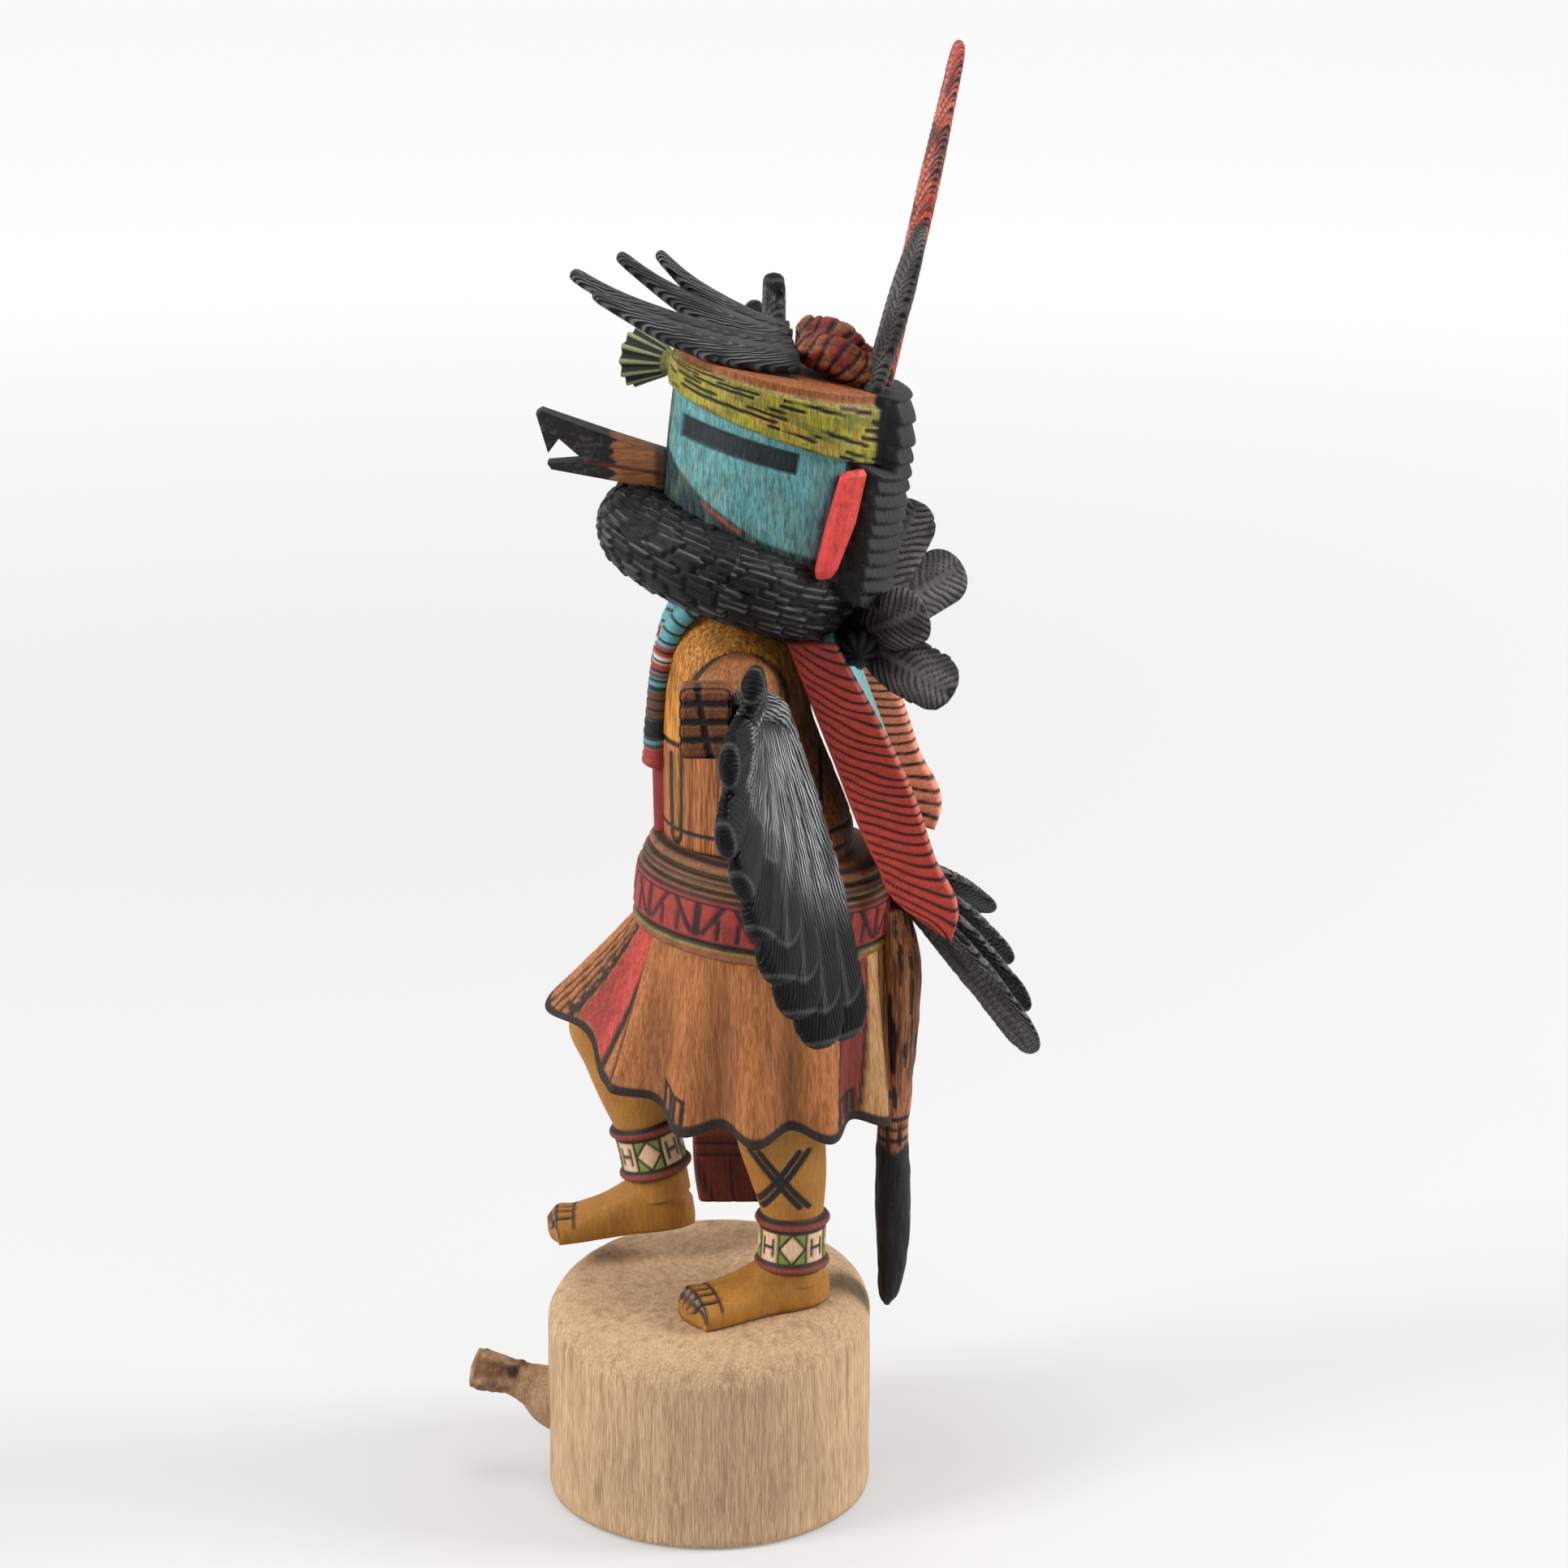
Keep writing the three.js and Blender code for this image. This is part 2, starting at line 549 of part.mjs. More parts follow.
function ear(side) {
  const stations = [[223.4, 1.5, 2.2, 1], [222.4, 1.2, 3.3, 1.7], [213, -0.4, 3.5, 2], [204, -2.6, 2.5, 1.7],
    [202.4, -3, 1.7, 1.1]];
  const turn = EAR_TURN * TURN;
  const out = vec(side * Math.cos(turn), Math.sin(turn), 0);
  const across = vec(-side * Math.sin(turn), Math.cos(turn), 0);
  const rim = (angle, i) => {
    const thick = stations[i][3] * Math.sign(Math.cos(angle)) * Math.abs(Math.cos(angle)) ** 0.6;
    return out.clone().multiplyScalar(thick).addScaledVector(across, stations[i][2] * Math.sin(angle));
  };
  const centre = (i) => {
    const [height, back] = stations[i];
    const axis = headPoint((height - MASK_FOOT.z) / (MASK_CROWN.z - MASK_FOOT.z) + 0.14);
    return vec(axis.x, axis.y, height).addScaledVector(out, MASK_CROWN_RADIUS + 1.9)
      .addScaledVector(across, back);
  };
  return sweep(8, stations.map((_, i) => i), centre, rim)
    .subtract(head(GAP)).subtract(headband(GAP)).subtract(ruff(GAP));
}

// Squash blossom: a fluted trumpet on a short stem at the front right of the headband
function squashBlossom() {
  const turn = -32 * TURN;
  const direction = vec(Math.sin(turn), -Math.cos(turn), 0.04).normalize();
  const root = vec(0, 14.4, 239.2).addScaledVector(vec(Math.sin(turn), -Math.cos(turn), 0), 22.6);
  const across = vec(0, 0, 1).cross(direction).normalize();
  const up = direction.clone().cross(across);
  const shape = [[0, 2], [3, 2.1], [4.2, 3], [8, 4.6], [11.2, 5.7], [11.8, 5.3], [10.8, 4.4]];
  const rim = (angle, i) => {
    const flute = i > 2 && i < 6 ? 1 + 0.06 * Math.cos(7 * angle) : 1;
    return across.clone().multiplyScalar(shape[i][1] * flute * Math.cos(angle))
      .addScaledVector(up, shape[i][1] * flute * Math.sin(angle));
  };
  const centre = (i) => root.clone().addScaledVector(direction, shape[i][0]);
  return sweep(14, shape.map((_, i) => i), centre, rim).subtract(headband(GAP)).subtract(head(GAP));
}

// Crown feathers: four, side by side on the crown, sweeping forward and up
function crownFeathers() {
  const quills = limb(6, [[7, 17.4, 244.4, 1.6], [0, 16.4, 246, 2.4], [-7, 15, 246.8, 1.6]]);
  return join(quills, CROWN_TIPS.map((tip, i) => feather({
    root: vec(9 - 5.4 * i, 18.4 - 0.8 * i, 243.8 + 0.9 * i),
    tip: vec(...tip),
    bow: vec(i < 2 ? 3 : -3, 0, -5.8 - 0.4 * i),
    side: vec(1, 0.1, -0.42),
    width: CROWN_FEATHER_WIDTH,
    thick: 3.6,
    base: 0.9 - 0.1 * i,
    taper: 0.5,
  }))).subtract(head(GAP)).subtract(headband(GAP));
}

function redPlume() {
  const strands = [-1, 0, 1].map((k) => {
    const drop = 2.4 * Math.abs(k);
    return limb(8, [[k * 5.4, 18.6, 248.6 - drop, 1.4], [k * 5.8, 20.8, 247.6 - drop, 3.4],
      [k * 6, 25.6, 246.4 - drop, 4.1], [k * 5, 30, 242.6 - 0.6 * drop, 3.8], [k * 3.6, 33, 239.6, 2.6]]);
  });
  return join(strands).subtract(head(GAP));
}

function tallFeather(color) {
  const red = color === 'red';
  return feather({
    root: red ? vec(2.5, 35.2, 238) : vec(6, 32.6, 235.5),
    tip: point(red ? TALL_RED_TIP : TALL_BLACK_TIP),
    bow: vec(0, 0.4, 0),
    side: vec(1, 0.18, 0),
    width: red ? 10 : 12,
    thick: red ? 3.6 : 4.2,
    base: 0.6,
  });
}

// Nape feathers: two pairs that fan out behind the neck
function napeFeathers() {
  const root = point(NAPE_ROOT);
  const blades = NAPE_TIPS.map((place) => {
    const tip = vec(...place);
    const run = tip.clone().sub(root);
    return feather({
      root,
      tip,
      bow: vec(Math.sign(tip.x) * 3, 1, 0),
      side: vec(0.25 * run.length(), run.z, -run.y),
      width: 12,
      thick: 3.2,
      base: 0.6,
    });
  });
  const quills = limb(8, [[-4, 31, 186.6, 3.4], [0, 31.4, 186.4, 4], [4, 31, 186, 3.4], [11, 30.4, 184.6, 2.2]]);
  return join(blades, quills).subtract(ruff(GAP)).subtract(head(GAP)).subtract(torso(GAP));
}

function backTablet() {
  const board = new THREE.BoxGeometry(TABLET.width - 2 * GAP, TABLET.thick, TABLET.height);
  board.translate(0, -TABLET.thick / 2, -TABLET.height / 2);
  board.rotateX(TABLET.lean * TURN);
  board.translate(0, TABLET.back, TABLET.top);
  return solid(slope(board)).subtract(torso(GAP)).subtract(ruff(GAP));
}

function slope(geometry) {
  const { position } = geometry.attributes;
  for (let i = 0; i < position.count; i += 1) {
    const rise = TABLET_ROLL * (TABLET.width / 2 - position.getX(i));
    position.setZ(i, position.getZ(i) + rise);
  }
  return geometry;
}

function tabletFringe(side) {
  const shape = new THREE.Shape();
  const place = (y, z) => new THREE.Vector2(y, z);
  const tuck = side > 0 ? 0 : 3;
  shape.moveTo(16.2 - tuck, 189.4);
  shape.splineThru([place(25 - tuck, 166.2), place(34.2 - tuck, 143.4), place(39.4 - tuck, 134.6)]);
  shape.lineTo(49.4, 127.4);
  shape.lineTo(50.6, 131);
  shape.splineThru([place(46, 145), place(41, 159.8), place(34, 174.6)]);
  shape.lineTo(26.4, 188.4);
  const geometry = new THREE.ExtrudeGeometry(shape, {
    depth: FRINGE_THICKNESS,
    bevelEnabled: false,
    curveSegments: 4,
  });
  geometry.rotateY(Math.PI / 2).rotateX(Math.PI / 2);
  geometry.translate(side > 0 ? TABLET.width / 2 : -TABLET.width / 2 - FRINGE_THICKNESS, 0, 0);
  slope(geometry);
  if (side < 0) geometry.translate(0, RIGHT_FRINGE_SHIFT.y, RIGHT_FRINGE_SHIFT.z);
  return solid(geometry).subtract(torso(GAP)).subtract(ruff(GAP)).subtract(belt(GAP));
}

// Tail: four feathers fanned out behind, slanting down
function tailFeathers() {
  return join(TAIL_TIPS.map((tip, i) => feather({
    root: vec(4 - 2.6 * i, 37.5, 135.5 + i * 0.8),
    tip: vec(...tip),
    bow: vec(0, 1.5, 2),
    side: vec(1, 0.55, 0.5),
    width: 12.5,
    thick: 3.6,
    base: 0.6,
  }))).subtract(belt(GAP)).subtract(torso(GAP)).subtract(kilt(GAP));
}

// Arm: from the shoulder over a soft elbow to a squared fist. The left one is nearly
// level, and the right forearm is raised.
function arm(side) {
  const left = side > 0;
  const [shoulder, elbow, wrist] = (left ? [LEFT_SHOULDER, LEFT_ELBOW, LEFT_WRIST]
    : [RIGHT_SHOULDER, RIGHT_ELBOW, RIGHT_WRIST]).map(point);
  const direction = wrist.clone().sub(elbow).normalize();
  const at = (place, radius) => [place.x, place.y, place.z, radius];
  const upper = limb(10, [at(shoulder, ARM_ROOT_RADIUS),
    at(shoulder.clone().lerp(elbow, 0.6), ARM_ROOT_RADIUS * 0.94), at(elbow, 6.4),
    at(elbow.clone().lerp(wrist, 0.6), WRIST_RADIUS), at(wrist, WRIST_RADIUS)]);
  const rise = Math.atan2(direction.z, Math.abs(direction.x)) / TURN;
  const fist = solid(new THREE.BoxGeometry(FIST.length, FIST.width, FIST.height))
    .rotate([0, -side * rise, 0])
    .translate([wrist.x + direction.x * 5, wrist.y - 1.6, wrist.z + direction.z * 5]);
  return { shape: join(upper, fist).subtract(torso(GAP)).subtract(ruff(GAP)), wrist };
}

// Wing: nine feathers fanned from the hand, from above the fist to well below the elbow.
// Each row is how far its tip lies out past the wrist, above it and behind it, how far up
// the forearm the feather roots, and how far its blade turns to face back.
const WING_FAN = [[26.5, 9.2, 6.7, 0, 0.3], [35.8, -5, 2.4, 0, 0.3], [33.2, -19.6, 1.6, 0, 0.35],
  [26.1, -29.4, 4.6, 1, 0.5], [17.4, -40, 8, 3, 0.65], [7.9, -50.2, 11.6, 6, 0.8],
  [-1.2, -58.6, 15.4, 10, 0.9], [-10.4, -66.2, 20, 14, 1], [-20.6, -66.4, 25, 18, 1]];
const RIGHT_LEADING_TIP = [34, 16.4, 9.6, 0, 0.3];
const WING_ROOT_BACK = 5.4;

function wing(side) {
  const { wrist } = arm(side);
  const rise = (side > 0 ? LEFT_WING_RISE : RIGHT_WING_RISE) * TURN;
  const out = vec(side * Math.cos(rise), 0, Math.sin(rise));
  const up = vec(-side * Math.sin(rise), 0, Math.cos(rise));
  const behind = side > 0 ? 1 : 0.7;
  const place = (a, b, back) => wrist.clone().addScaledVector(out, a).addScaledVector(up, b)
    .add(vec(0, back * behind, 0));
  const fan = side > 0 ? WING_FAN : [RIGHT_LEADING_TIP, ...WING_FAN.slice(1)];
  const blades = fan.map(([reach, high, back, elbow, turned], i) => {
    const root = place(-elbow, -1, WING_ROOT_BACK + 0.25 * elbow);
    const tip = place(reach, high, back);
    const run = tip.clone().sub(root);
    return feather({
      root,
      tip,
      bow: vec(0, 2, 0),
      side: run.clone().cross(vec(turned * side, 1, 0)),
      width: i === 0 ? 8 : WING_FEATHER_WIDTH,
      thick: WING_THICKNESS,
      base: 0.6,
    });
  });
  const edge = [[5, 3, 5.2, 2.4], [-2, 2, 6.4, 3.2], [-10, 0, 8.2, 3.8], [-19, -3, 10.4, 3.6]]
    .map(([a, b, back, radius]) => [...place(a, b, back).toArray(), radius]);
  return join(blades, limb(8, edge)).subtract(torso(GAP)).subtract(belt(GAP)).subtract(kilt(GAP));
}

const figureShape = figure();
const leftArm = arm(1).shape;
const rightArm = arm(-1).shape;
const plume = redPlume();
const tallBlack = tallFeather('black').subtract(clear(plume)).subtract(head(GAP));
const tallRed = tallFeather('red').subtract(clear(plume)).subtract(clear(tallBlack)).subtract(head(GAP));
const leftFringe = tabletFringe(1);
const rightFringe = tabletFringe(-1);
const tail = tailFeathers().subtract(clear(foxSkin())).subtract(clear(leftFringe)).subtract(clear(rightFringe))
  .subtract(clear(backTablet()));
const fringes = clear(join(leftFringe, rightFringe));

const object = new THREE.Group();
object.name = 'kachina_doll';
object.add(
  meshOf('base', rootBase(), 0xc3a582, 0.9),
  meshOf('figure', figureShape, 0xa56e41, 0.75),
  meshOf('beak', beak(), 0x8a5a30),
  meshOf('left_ear', ear(1), 0xb8383a),
  meshOf('right_ear', ear(-1), 0xb8383a),
  meshOf('squash_blossom', squashBlossom(), 0x6f7d4a),
  meshOf('crown_feather_fan', crownFeathers().subtract(clear(plume)), 0x2b2b2d),
  meshOf('red_plume', plume, 0x9c3426),
  meshOf('tall_black_feather', tallBlack, 0x2b2b2d),
  meshOf('tall_red_feather', tallRed, 0xa83a30),
  meshOf('nape_feather_fan', napeFeathers().subtract(fringes).subtract(clear(backTablet())), 0x2b2b2d),
  meshOf('back_tablet', backTablet(), 0x5fb4bd),
  meshOf('left_tablet_fringe', leftFringe, 0xb83c34),
  meshOf('right_tablet_fringe', rightFringe, 0xd0543c),
  meshOf('tail_feather_fan', tail, 0x2b2b2d),
  meshOf('left_arm', leftArm, 0x9a6238),
  meshOf('left_wing', wing(1).subtract(leftArm), 0x303032),
  meshOf('right_arm', rightArm, 0x9a6238),
  meshOf('right_wing', wing(-1).subtract(rightArm), 0x303032),
);

export default object;
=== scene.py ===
import itertools
import math

import bmesh
import bpy
import numpy as np
from bpy.props import FloatProperty, FloatVectorProperty, PointerProperty
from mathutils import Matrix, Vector


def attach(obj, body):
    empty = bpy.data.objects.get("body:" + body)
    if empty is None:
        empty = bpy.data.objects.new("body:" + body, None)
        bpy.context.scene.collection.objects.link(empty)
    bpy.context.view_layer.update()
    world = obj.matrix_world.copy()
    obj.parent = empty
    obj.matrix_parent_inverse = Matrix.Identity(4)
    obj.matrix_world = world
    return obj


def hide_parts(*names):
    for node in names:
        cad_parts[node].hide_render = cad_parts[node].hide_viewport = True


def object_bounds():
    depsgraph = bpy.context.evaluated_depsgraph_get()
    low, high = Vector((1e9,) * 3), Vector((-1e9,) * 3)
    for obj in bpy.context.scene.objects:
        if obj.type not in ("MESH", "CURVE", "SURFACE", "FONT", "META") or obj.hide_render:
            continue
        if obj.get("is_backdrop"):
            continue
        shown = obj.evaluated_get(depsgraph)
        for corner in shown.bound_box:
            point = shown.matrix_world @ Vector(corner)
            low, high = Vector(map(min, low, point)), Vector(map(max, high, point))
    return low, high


bl_info = {
    "name": "Kachina Doll",
    "version": (1, 0, 0),
    "blender": (4, 5, 0),
    "location": "View3D > Sidebar > Kachina Doll",
    "description": "Carves and paints a dancing bird kachina doll round its frame",
    "category": "Object",
}

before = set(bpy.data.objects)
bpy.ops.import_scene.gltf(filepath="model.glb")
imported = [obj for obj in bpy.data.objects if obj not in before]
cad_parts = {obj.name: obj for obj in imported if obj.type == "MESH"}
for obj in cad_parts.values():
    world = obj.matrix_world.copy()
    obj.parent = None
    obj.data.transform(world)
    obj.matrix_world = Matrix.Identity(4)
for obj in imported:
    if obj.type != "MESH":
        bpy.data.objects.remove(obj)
CAD_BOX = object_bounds()
MM = 0.001
BODY = "root"

# Sizes in millimetres and degrees. Levels on the mask are shares of its height
BASE_RADIUS = 34.5
BASE_HEIGHT = 45.5
BASE_EDGE = 8
BASE_SLOPE = (-0.08, 0.02)
STUB_RUN = ((0, -28.5, 18), (0, -50.9, 24.1))
GAP = 0.3
ANKLET_HEIGHT = 11.6
LEFT_ANKLE = (9.5, 17.4)
RIGHT_ANKLE = (-12, -11.4, 66)
RIGHT_SHIN_LEAN = 13
ANKLE_RISE = 8.4
LEFT_HEEL = (8.9, 19.6, 0)
RIGHT_HEEL = (-12, -8.4, 54)
HEEL_BACK = 5.4
FOOT_LENGTH = 32
FOOT_WIDTH = 13.4
LEFT_FOOT_TURN = 21
RIGHT_FOOT_PITCH = 7
WAIST = (0, 11.5, 132)
BELT_TILT = 6
BELT_RADIUS = 26.4
HEAD_PITCH = 20
CROWN_PITCH = 12
MASK_FOOT = (0, 11.2, 203)
MASK_CROWN = (0, 16, 241)
MASK_RADIUS = (20.4, 20.8)
MASK_TALL = 38
MASK_ARC = 0.37
EYE_SPAN = (26.5, 102.5)
EYE_LEVELS = (0.566, 0.622)
EYE_HALF = 0.056
BLOSSOM_TURN = math.radians(-32)
BLOSSOM_AXIS = (0, 14.4, 239.2)
BLOSSOM_OUT = 22.2
HAIR_THICKNESS = 6
HAIR_TIERS = 6
HAIR_START = 46
BAND_END = 60
BAND_SPAN = (0.712, 0.95)
RUFF = {"centre": (0, 4.4, 202.4), "radius": 19.4, "tube": 8, "tall": 8.6}
FIST = (12, 9.8, 13.4)
TABLET = {"width": 32, "height": 52, "thick": 2.6, "lean": 20.3, "top": 187, "back": 25}
TABLET_ROLL = 0.25
RIGHT_FRINGE_SHIFT = (-2.2, 4.1)
FRINGE_THICKNESS = 3
KNEE_SIDE = -102
KILT_TOP = WAIST[2] - 4
KILT_WAIST = 24
KILT_INSIDE = 112
KILT_FLUTES = 12
BEAD_PITCH = 2.1

# How far the columns of a round piece draw together on the side that is seen most
NEAR = 0.45
# The share of the rows on the kilt's outside, and on the mask below its crown
FALL_SHARE = 0.84
MASK_SHARE = 0.86

# The stage, in metres
LAMPS = (("left", (0.45, -1.05, 0.8), 0.45, 13.0), ("right", (0.0, 1.15, 0.75), 0.45, 14.0),
         ("top", (0.15, 0.0, 1.3), 0.5, 5.0))
LAMP_AIM = Vector((0, 0, 0.15))
CAMERA_PLACE = (0.796, 0.0157, 0.383)
CAMERA_PITCH = math.radians(16)
CAMERA_LENS = 93.17


def paint(red, green, blue):
    """A colour of 0 to 255 as Blender's linear one."""
    return tuple(((c / 255 + 0.055) / 1.055) ** 2.4 for c in (red, green, blue))


def swatch(name, description, *color):
    return FloatVectorProperty(name=name, description=description, subtype="COLOR", default=paint(*color))


class DollPaints(bpy.types.PropertyGroup):
    turquoise: swatch("Turquoise", "Paint of the mask", 98, 164, 170)
    ochre: swatch("Ochre", "Paint of the skin", 172, 118, 46)
    red: swatch("Red", "Red paint", 160, 58, 50)
    green: swatch("Green", "Green paint", 132, 142, 60)
    cream: swatch("Cream", "Cream paint", 222, 188, 150)
    brown: swatch("Brown", "Stained wood", 168, 106, 58)
    black: swatch("Black", "Scorched wood", 26, 26, 28)
    root: swatch("Root", "Bare sanded root", 213, 180, 141)


class DollCarving(bpy.types.PropertyGroup):
    barb_pitch: FloatProperty(
        name="Barb pitch", description="Distance between the barbs of a feather, in millimetres", default=1.35)
    barb_depth: FloatProperty(
        name="Barb depth", description="Depth of the barb grooves, in millimetres", default=0.2)
    line_depth: FloatProperty(
        name="Line depth", description="Depth of the burned lines, in millimetres", default=0.22)
    shingle_depth: FloatProperty(
        name="Shingle depth", description="Step of the ruff's shingles, in millimetres", default=0.75)


def tone(color):
    """A paint by its name, or by its name and how light it is, or a colour of 0 to 255."""
    if isinstance(color, str):
        color = (color, 1)
    if len(color) == 2:
        name, light = color
        return np.array(getattr(bpy.context.scene.doll_paints, name)[:]) * light
    return np.array(paint(*color))


def carving(name):
    return getattr(bpy.context.scene.doll_carving, name)


# Sums on arrays of places


def mix(a, b, t):
    return a + (b - a) * t


def smooth(low, high, value):
    t = np.clip((value - low) / (high - low), 0, 1)
    return t * t * (3 - 2 * t)


def bell(value, width):
    return np.exp(-((value / width) ** 2))


def flow(stations, at):
    """A smooth curve through (position, value) pairs."""
    xs, ys = np.array(stations, float).T
    slope = np.gradient(ys, xs)
    i = np.clip(np.searchsorted(xs, at) - 1, 0, len(xs) - 2)
    width = xs[i + 1] - xs[i]
    t = np.clip((at - xs[i]) / width, 0, 1)
    rise = t * t * (3 - 2 * t)
    start = t * (1 - t) ** 2 * width * slope[i]
    end = t * t * (t - 1) * width * slope[i + 1]
    return ys[i] + (ys[i + 1] - ys[i]) * rise + start + end


def turn_from(angle, side):
    """How far an angle in degrees lies from side, from -180 to 180."""
    return (angle - side + 180) % 360 - 180


def noise(places, scale):
    """Soft noise from 0 to 1 with cells of scale millimetres, one scale or one for each axis."""
    p = places / np.array(scale, float)
    cell = np.floor(p).astype(np.int64)
    part = p - cell
    part = part * part * (3 - 2 * part)
    total = np.zeros(len(p))
    for corner in itertools.product((0, 1), repeat=3):
        x, y, z = (cell + corner).T
        mixed = (x * 73856093) ^ (y * 19349663) ^ (z * 83492791)
        mixed = ((mixed ^ (mixed >> 13)) * 1274126177) & 0x7FFFFFFF
        weight = np.prod(np.where(corner, part, 1 - part), axis=1)
        total += weight * ((mixed >> 8) & 0xFFFF) / 0xFFFF
    return total


def stroke(x, y, start, end, width, soft=0.16):
    """A painted stroke between two points, as a mask of 0 to 1."""
    (ax, ay), (bx, by) = start, end
    dx, dy = bx - ax, by - ay
    t = np.clip(((x - ax) * dx + (y - ay) * dy) / (dx * dx + dy * dy), 0, 1)
    distance = np.hypot(x - ax - t * dx, y - ay - t * dy)
    return 1 - smooth(width / 2 - soft, width / 2 + soft, distance)


def line(value, at, width, soft=0.12):
    return 1 - smooth(width / 2 - soft, width / 2 + soft, np.abs(value - at))


def lines_at(value, places, width, soft=0.12):
    """Lines of one width at several places."""
    return line(np.min([np.abs(value - at) for at in places], axis=0), 0, width, soft)


def most(*masks):
    """The strongest of several masks at each place."""
    return np.maximum.reduce(masks)


def block(turn, half_wide, half_tall, power=9):
    """Places on a rounded rectangle in the direction turn."""
    cosine, sine = np.cos(turn), np.sin(turn)
    reach = (np.abs(cosine / half_wide) ** power + np.abs(sine / half_tall) ** power) ** (-1 / power)
    return reach * cosine, reach * sine


def plank(angle, power=14):
    """Evenly spaced places across a flat board and the share of its thickness there."""
    across = np.abs((angle / 180) % 2 - 1) * 2 - 1
    thick = np.sqrt(np.clip(1 - np.abs(across) ** power, 0, 1))
    return across, thick * np.where(angle < 180, 1, -1)


def within(value, low, high, soft=0.15):
    return smooth(low - soft, low + soft, value) * (1 - smooth(high - soft, high + soft, value))


def unit(vectors):
    return vectors / np.linalg.norm(vectors, axis=-1, keepdims=True)


def vec(*values):
    return np.array(values, float)


def spots(x, y, z):
    """Rows of places, where any of the three may be one number for all."""
    return np.column_stack(np.broadcast_arrays(x, y, z))


def outward(turn):
    """Level directions away from the axis."""
    return spots(np.cos(turn), np.sin(turn), 0)


def rotated(a, b, degrees):
    """Places turned in the plane of their axes a and b, from b towards a."""
    cosine, sine = math.cos(math.radians(degrees)), math.sin(math.radians(degrees))
    return a * cosine + b * sine, b * cosine - a * sine


def flows(rows, at):
    """A smooth curve for each column of rows after the first, which holds the positions."""
    rows = np.array(rows, float)
    return [flow(rows[:, (0, k)], at) for k in range(1, rows.shape[1])]


def inside(share):
    """0 on the first and the last row, which close to a point, and 1 between them."""
    return (np.sin(np.pi * share) > 1e-6) * 1.0


def smooth_ends(share):
    """Leaves the first and the last row of a grid for the flat ends."""
    return np.clip((share - 0.004) / 0.992, 0, 1)


class Coat:
    """Paint laid over a surface, one coat after another."""

    def __init__(self, rows, color):
        self.color = np.tile(tone(color), (len(rows), 1))

    def over(self, color, mask):
        self.color += (tone(color) - self.color) * np.asarray(mask)[:, None]
        return self

    def shade(self, factor):
        self.color *= np.asarray(factor)[:, None]
        return self


# Meshes: a grid rolled round and closed, with its places and paint worked out by a function


def sheet(name, columns, rows, size):
    """The mesh of a flat square sheet."""
    bm = bmesh.new()
    bmesh.ops.create_grid(bm, x_segments=columns, y_segments=rows, size=size)
    mesh = bpy.data.meshes.new(name)
    bm.to_mesh(mesh)
    bm.free()
    return mesh


def mesh_places(mesh):
    flat = np.empty(len(mesh.vertices) * 3)
    mesh.vertices.foreach_get("co", flat)
    return flat.reshape(-1, 3)


def keep_paint(mesh, color):
    layer = mesh.attributes.new("paint", "FLOAT_COLOR", "POINT")
    layer.data.foreach_set("color", np.column_stack([np.clip(color, 0, 1), np.ones(len(color))]).ravel())


def shell(name, columns, rows, shape, near=0, centre=0):
    """A closed surface. shape takes the turn in degrees and the share along, and gives places
    in millimetres and their paint. near draws the columns together around centre, in degrees,
    which is the figure's left side at 0."""
    mesh = sheet(name, columns, rows, 0.5)
    across, up = mesh_places(mesh)[:, :2].T + 0.5
    turn = np.round(across * columns) / columns * 360
    turn -= np.degrees(near * np.sin(np.radians(turn - centre)))
    places, color, *vane = shape(turn, np.round(up * rows) / rows)
    mesh.vertices.foreach_set("co", (places * MM).ravel())
    if vane:
        layer = mesh.attributes.new("vane", "FLOAT_VECTOR", "POINT")
        layer.data.foreach_set("vector", vane[0].ravel())
    keep_paint(mesh, color)
    return mesh


def piece(name, meshes, material, nodes=("figure",), slot="painted_body"):
    """Joins shells into one object, closes their seams and poles, and places it on the body."""
    bm = bmesh.new()
    for mesh in meshes:
        part = bmesh.new()
        part.from_mesh(mesh)
        bmesh.ops.remove_doubles(part, verts=part.verts, dist=2e-6)
        bmesh.ops.dissolve_degenerate(part, edges=part.edges, dist=1e-7)
        bmesh.ops.recalc_face_normals(part, faces=part.faces)
        part.to_mesh(mesh)
        part.free()
        bm.from_mesh(mesh)
        bpy.data.meshes.remove(mesh)
    whole = bpy.data.meshes.new(name)
    bm.to_mesh(whole)
    bm.free()
    whole.polygons.foreach_set("use_smooth", [True] * len(whole.polygons))
    whole.materials.append(material)
    made = bpy.data.objects.new(name, whole)
    bpy.context.scene.collection.objects.link(made)
    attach(made, BODY)
    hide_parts(*nodes)
    return made


def path_frame(centres, side):
    """Directions across and out of a run of places, from rows of centres."""
    along = unit(np.gradient(centres, axis=0))
    across = unit(side - along * np.sum(side * along, axis=1, keepdims=True))
    return across, np.cross(along, across)


def swept(angle, share, stations, side=(0.31, -0.17, 0.12)):
    """The middle, the radius and the way outward round a limb through stations of (x, y, z,
    radius)."""
    stations = np.array(stations, float)
    lengths = np.linalg.norm(np.diff(stations[:, :3], axis=0), axis=1)
    marks = np.concatenate([[0], np.cumsum(lengths)]) / lengths.sum()
    fine = np.linspace(0, 1, 400)
    run = spots(*flows(np.column_stack([marks, stations[:, :3]]), fine))
    across, out = path_frame(run, np.array(side, float))
    middle, across, out = (spots(*(np.interp(share, fine, column) for column in rows.T))
                           for rows in (run, across, out))
    radius = flow(np.column_stack([marks, stations[:, 3]]), share)
    turn = np.radians(angle)[:, None]
    return middle, radius, across * np.cos(turn) + out * np.sin(turn)


# Materials


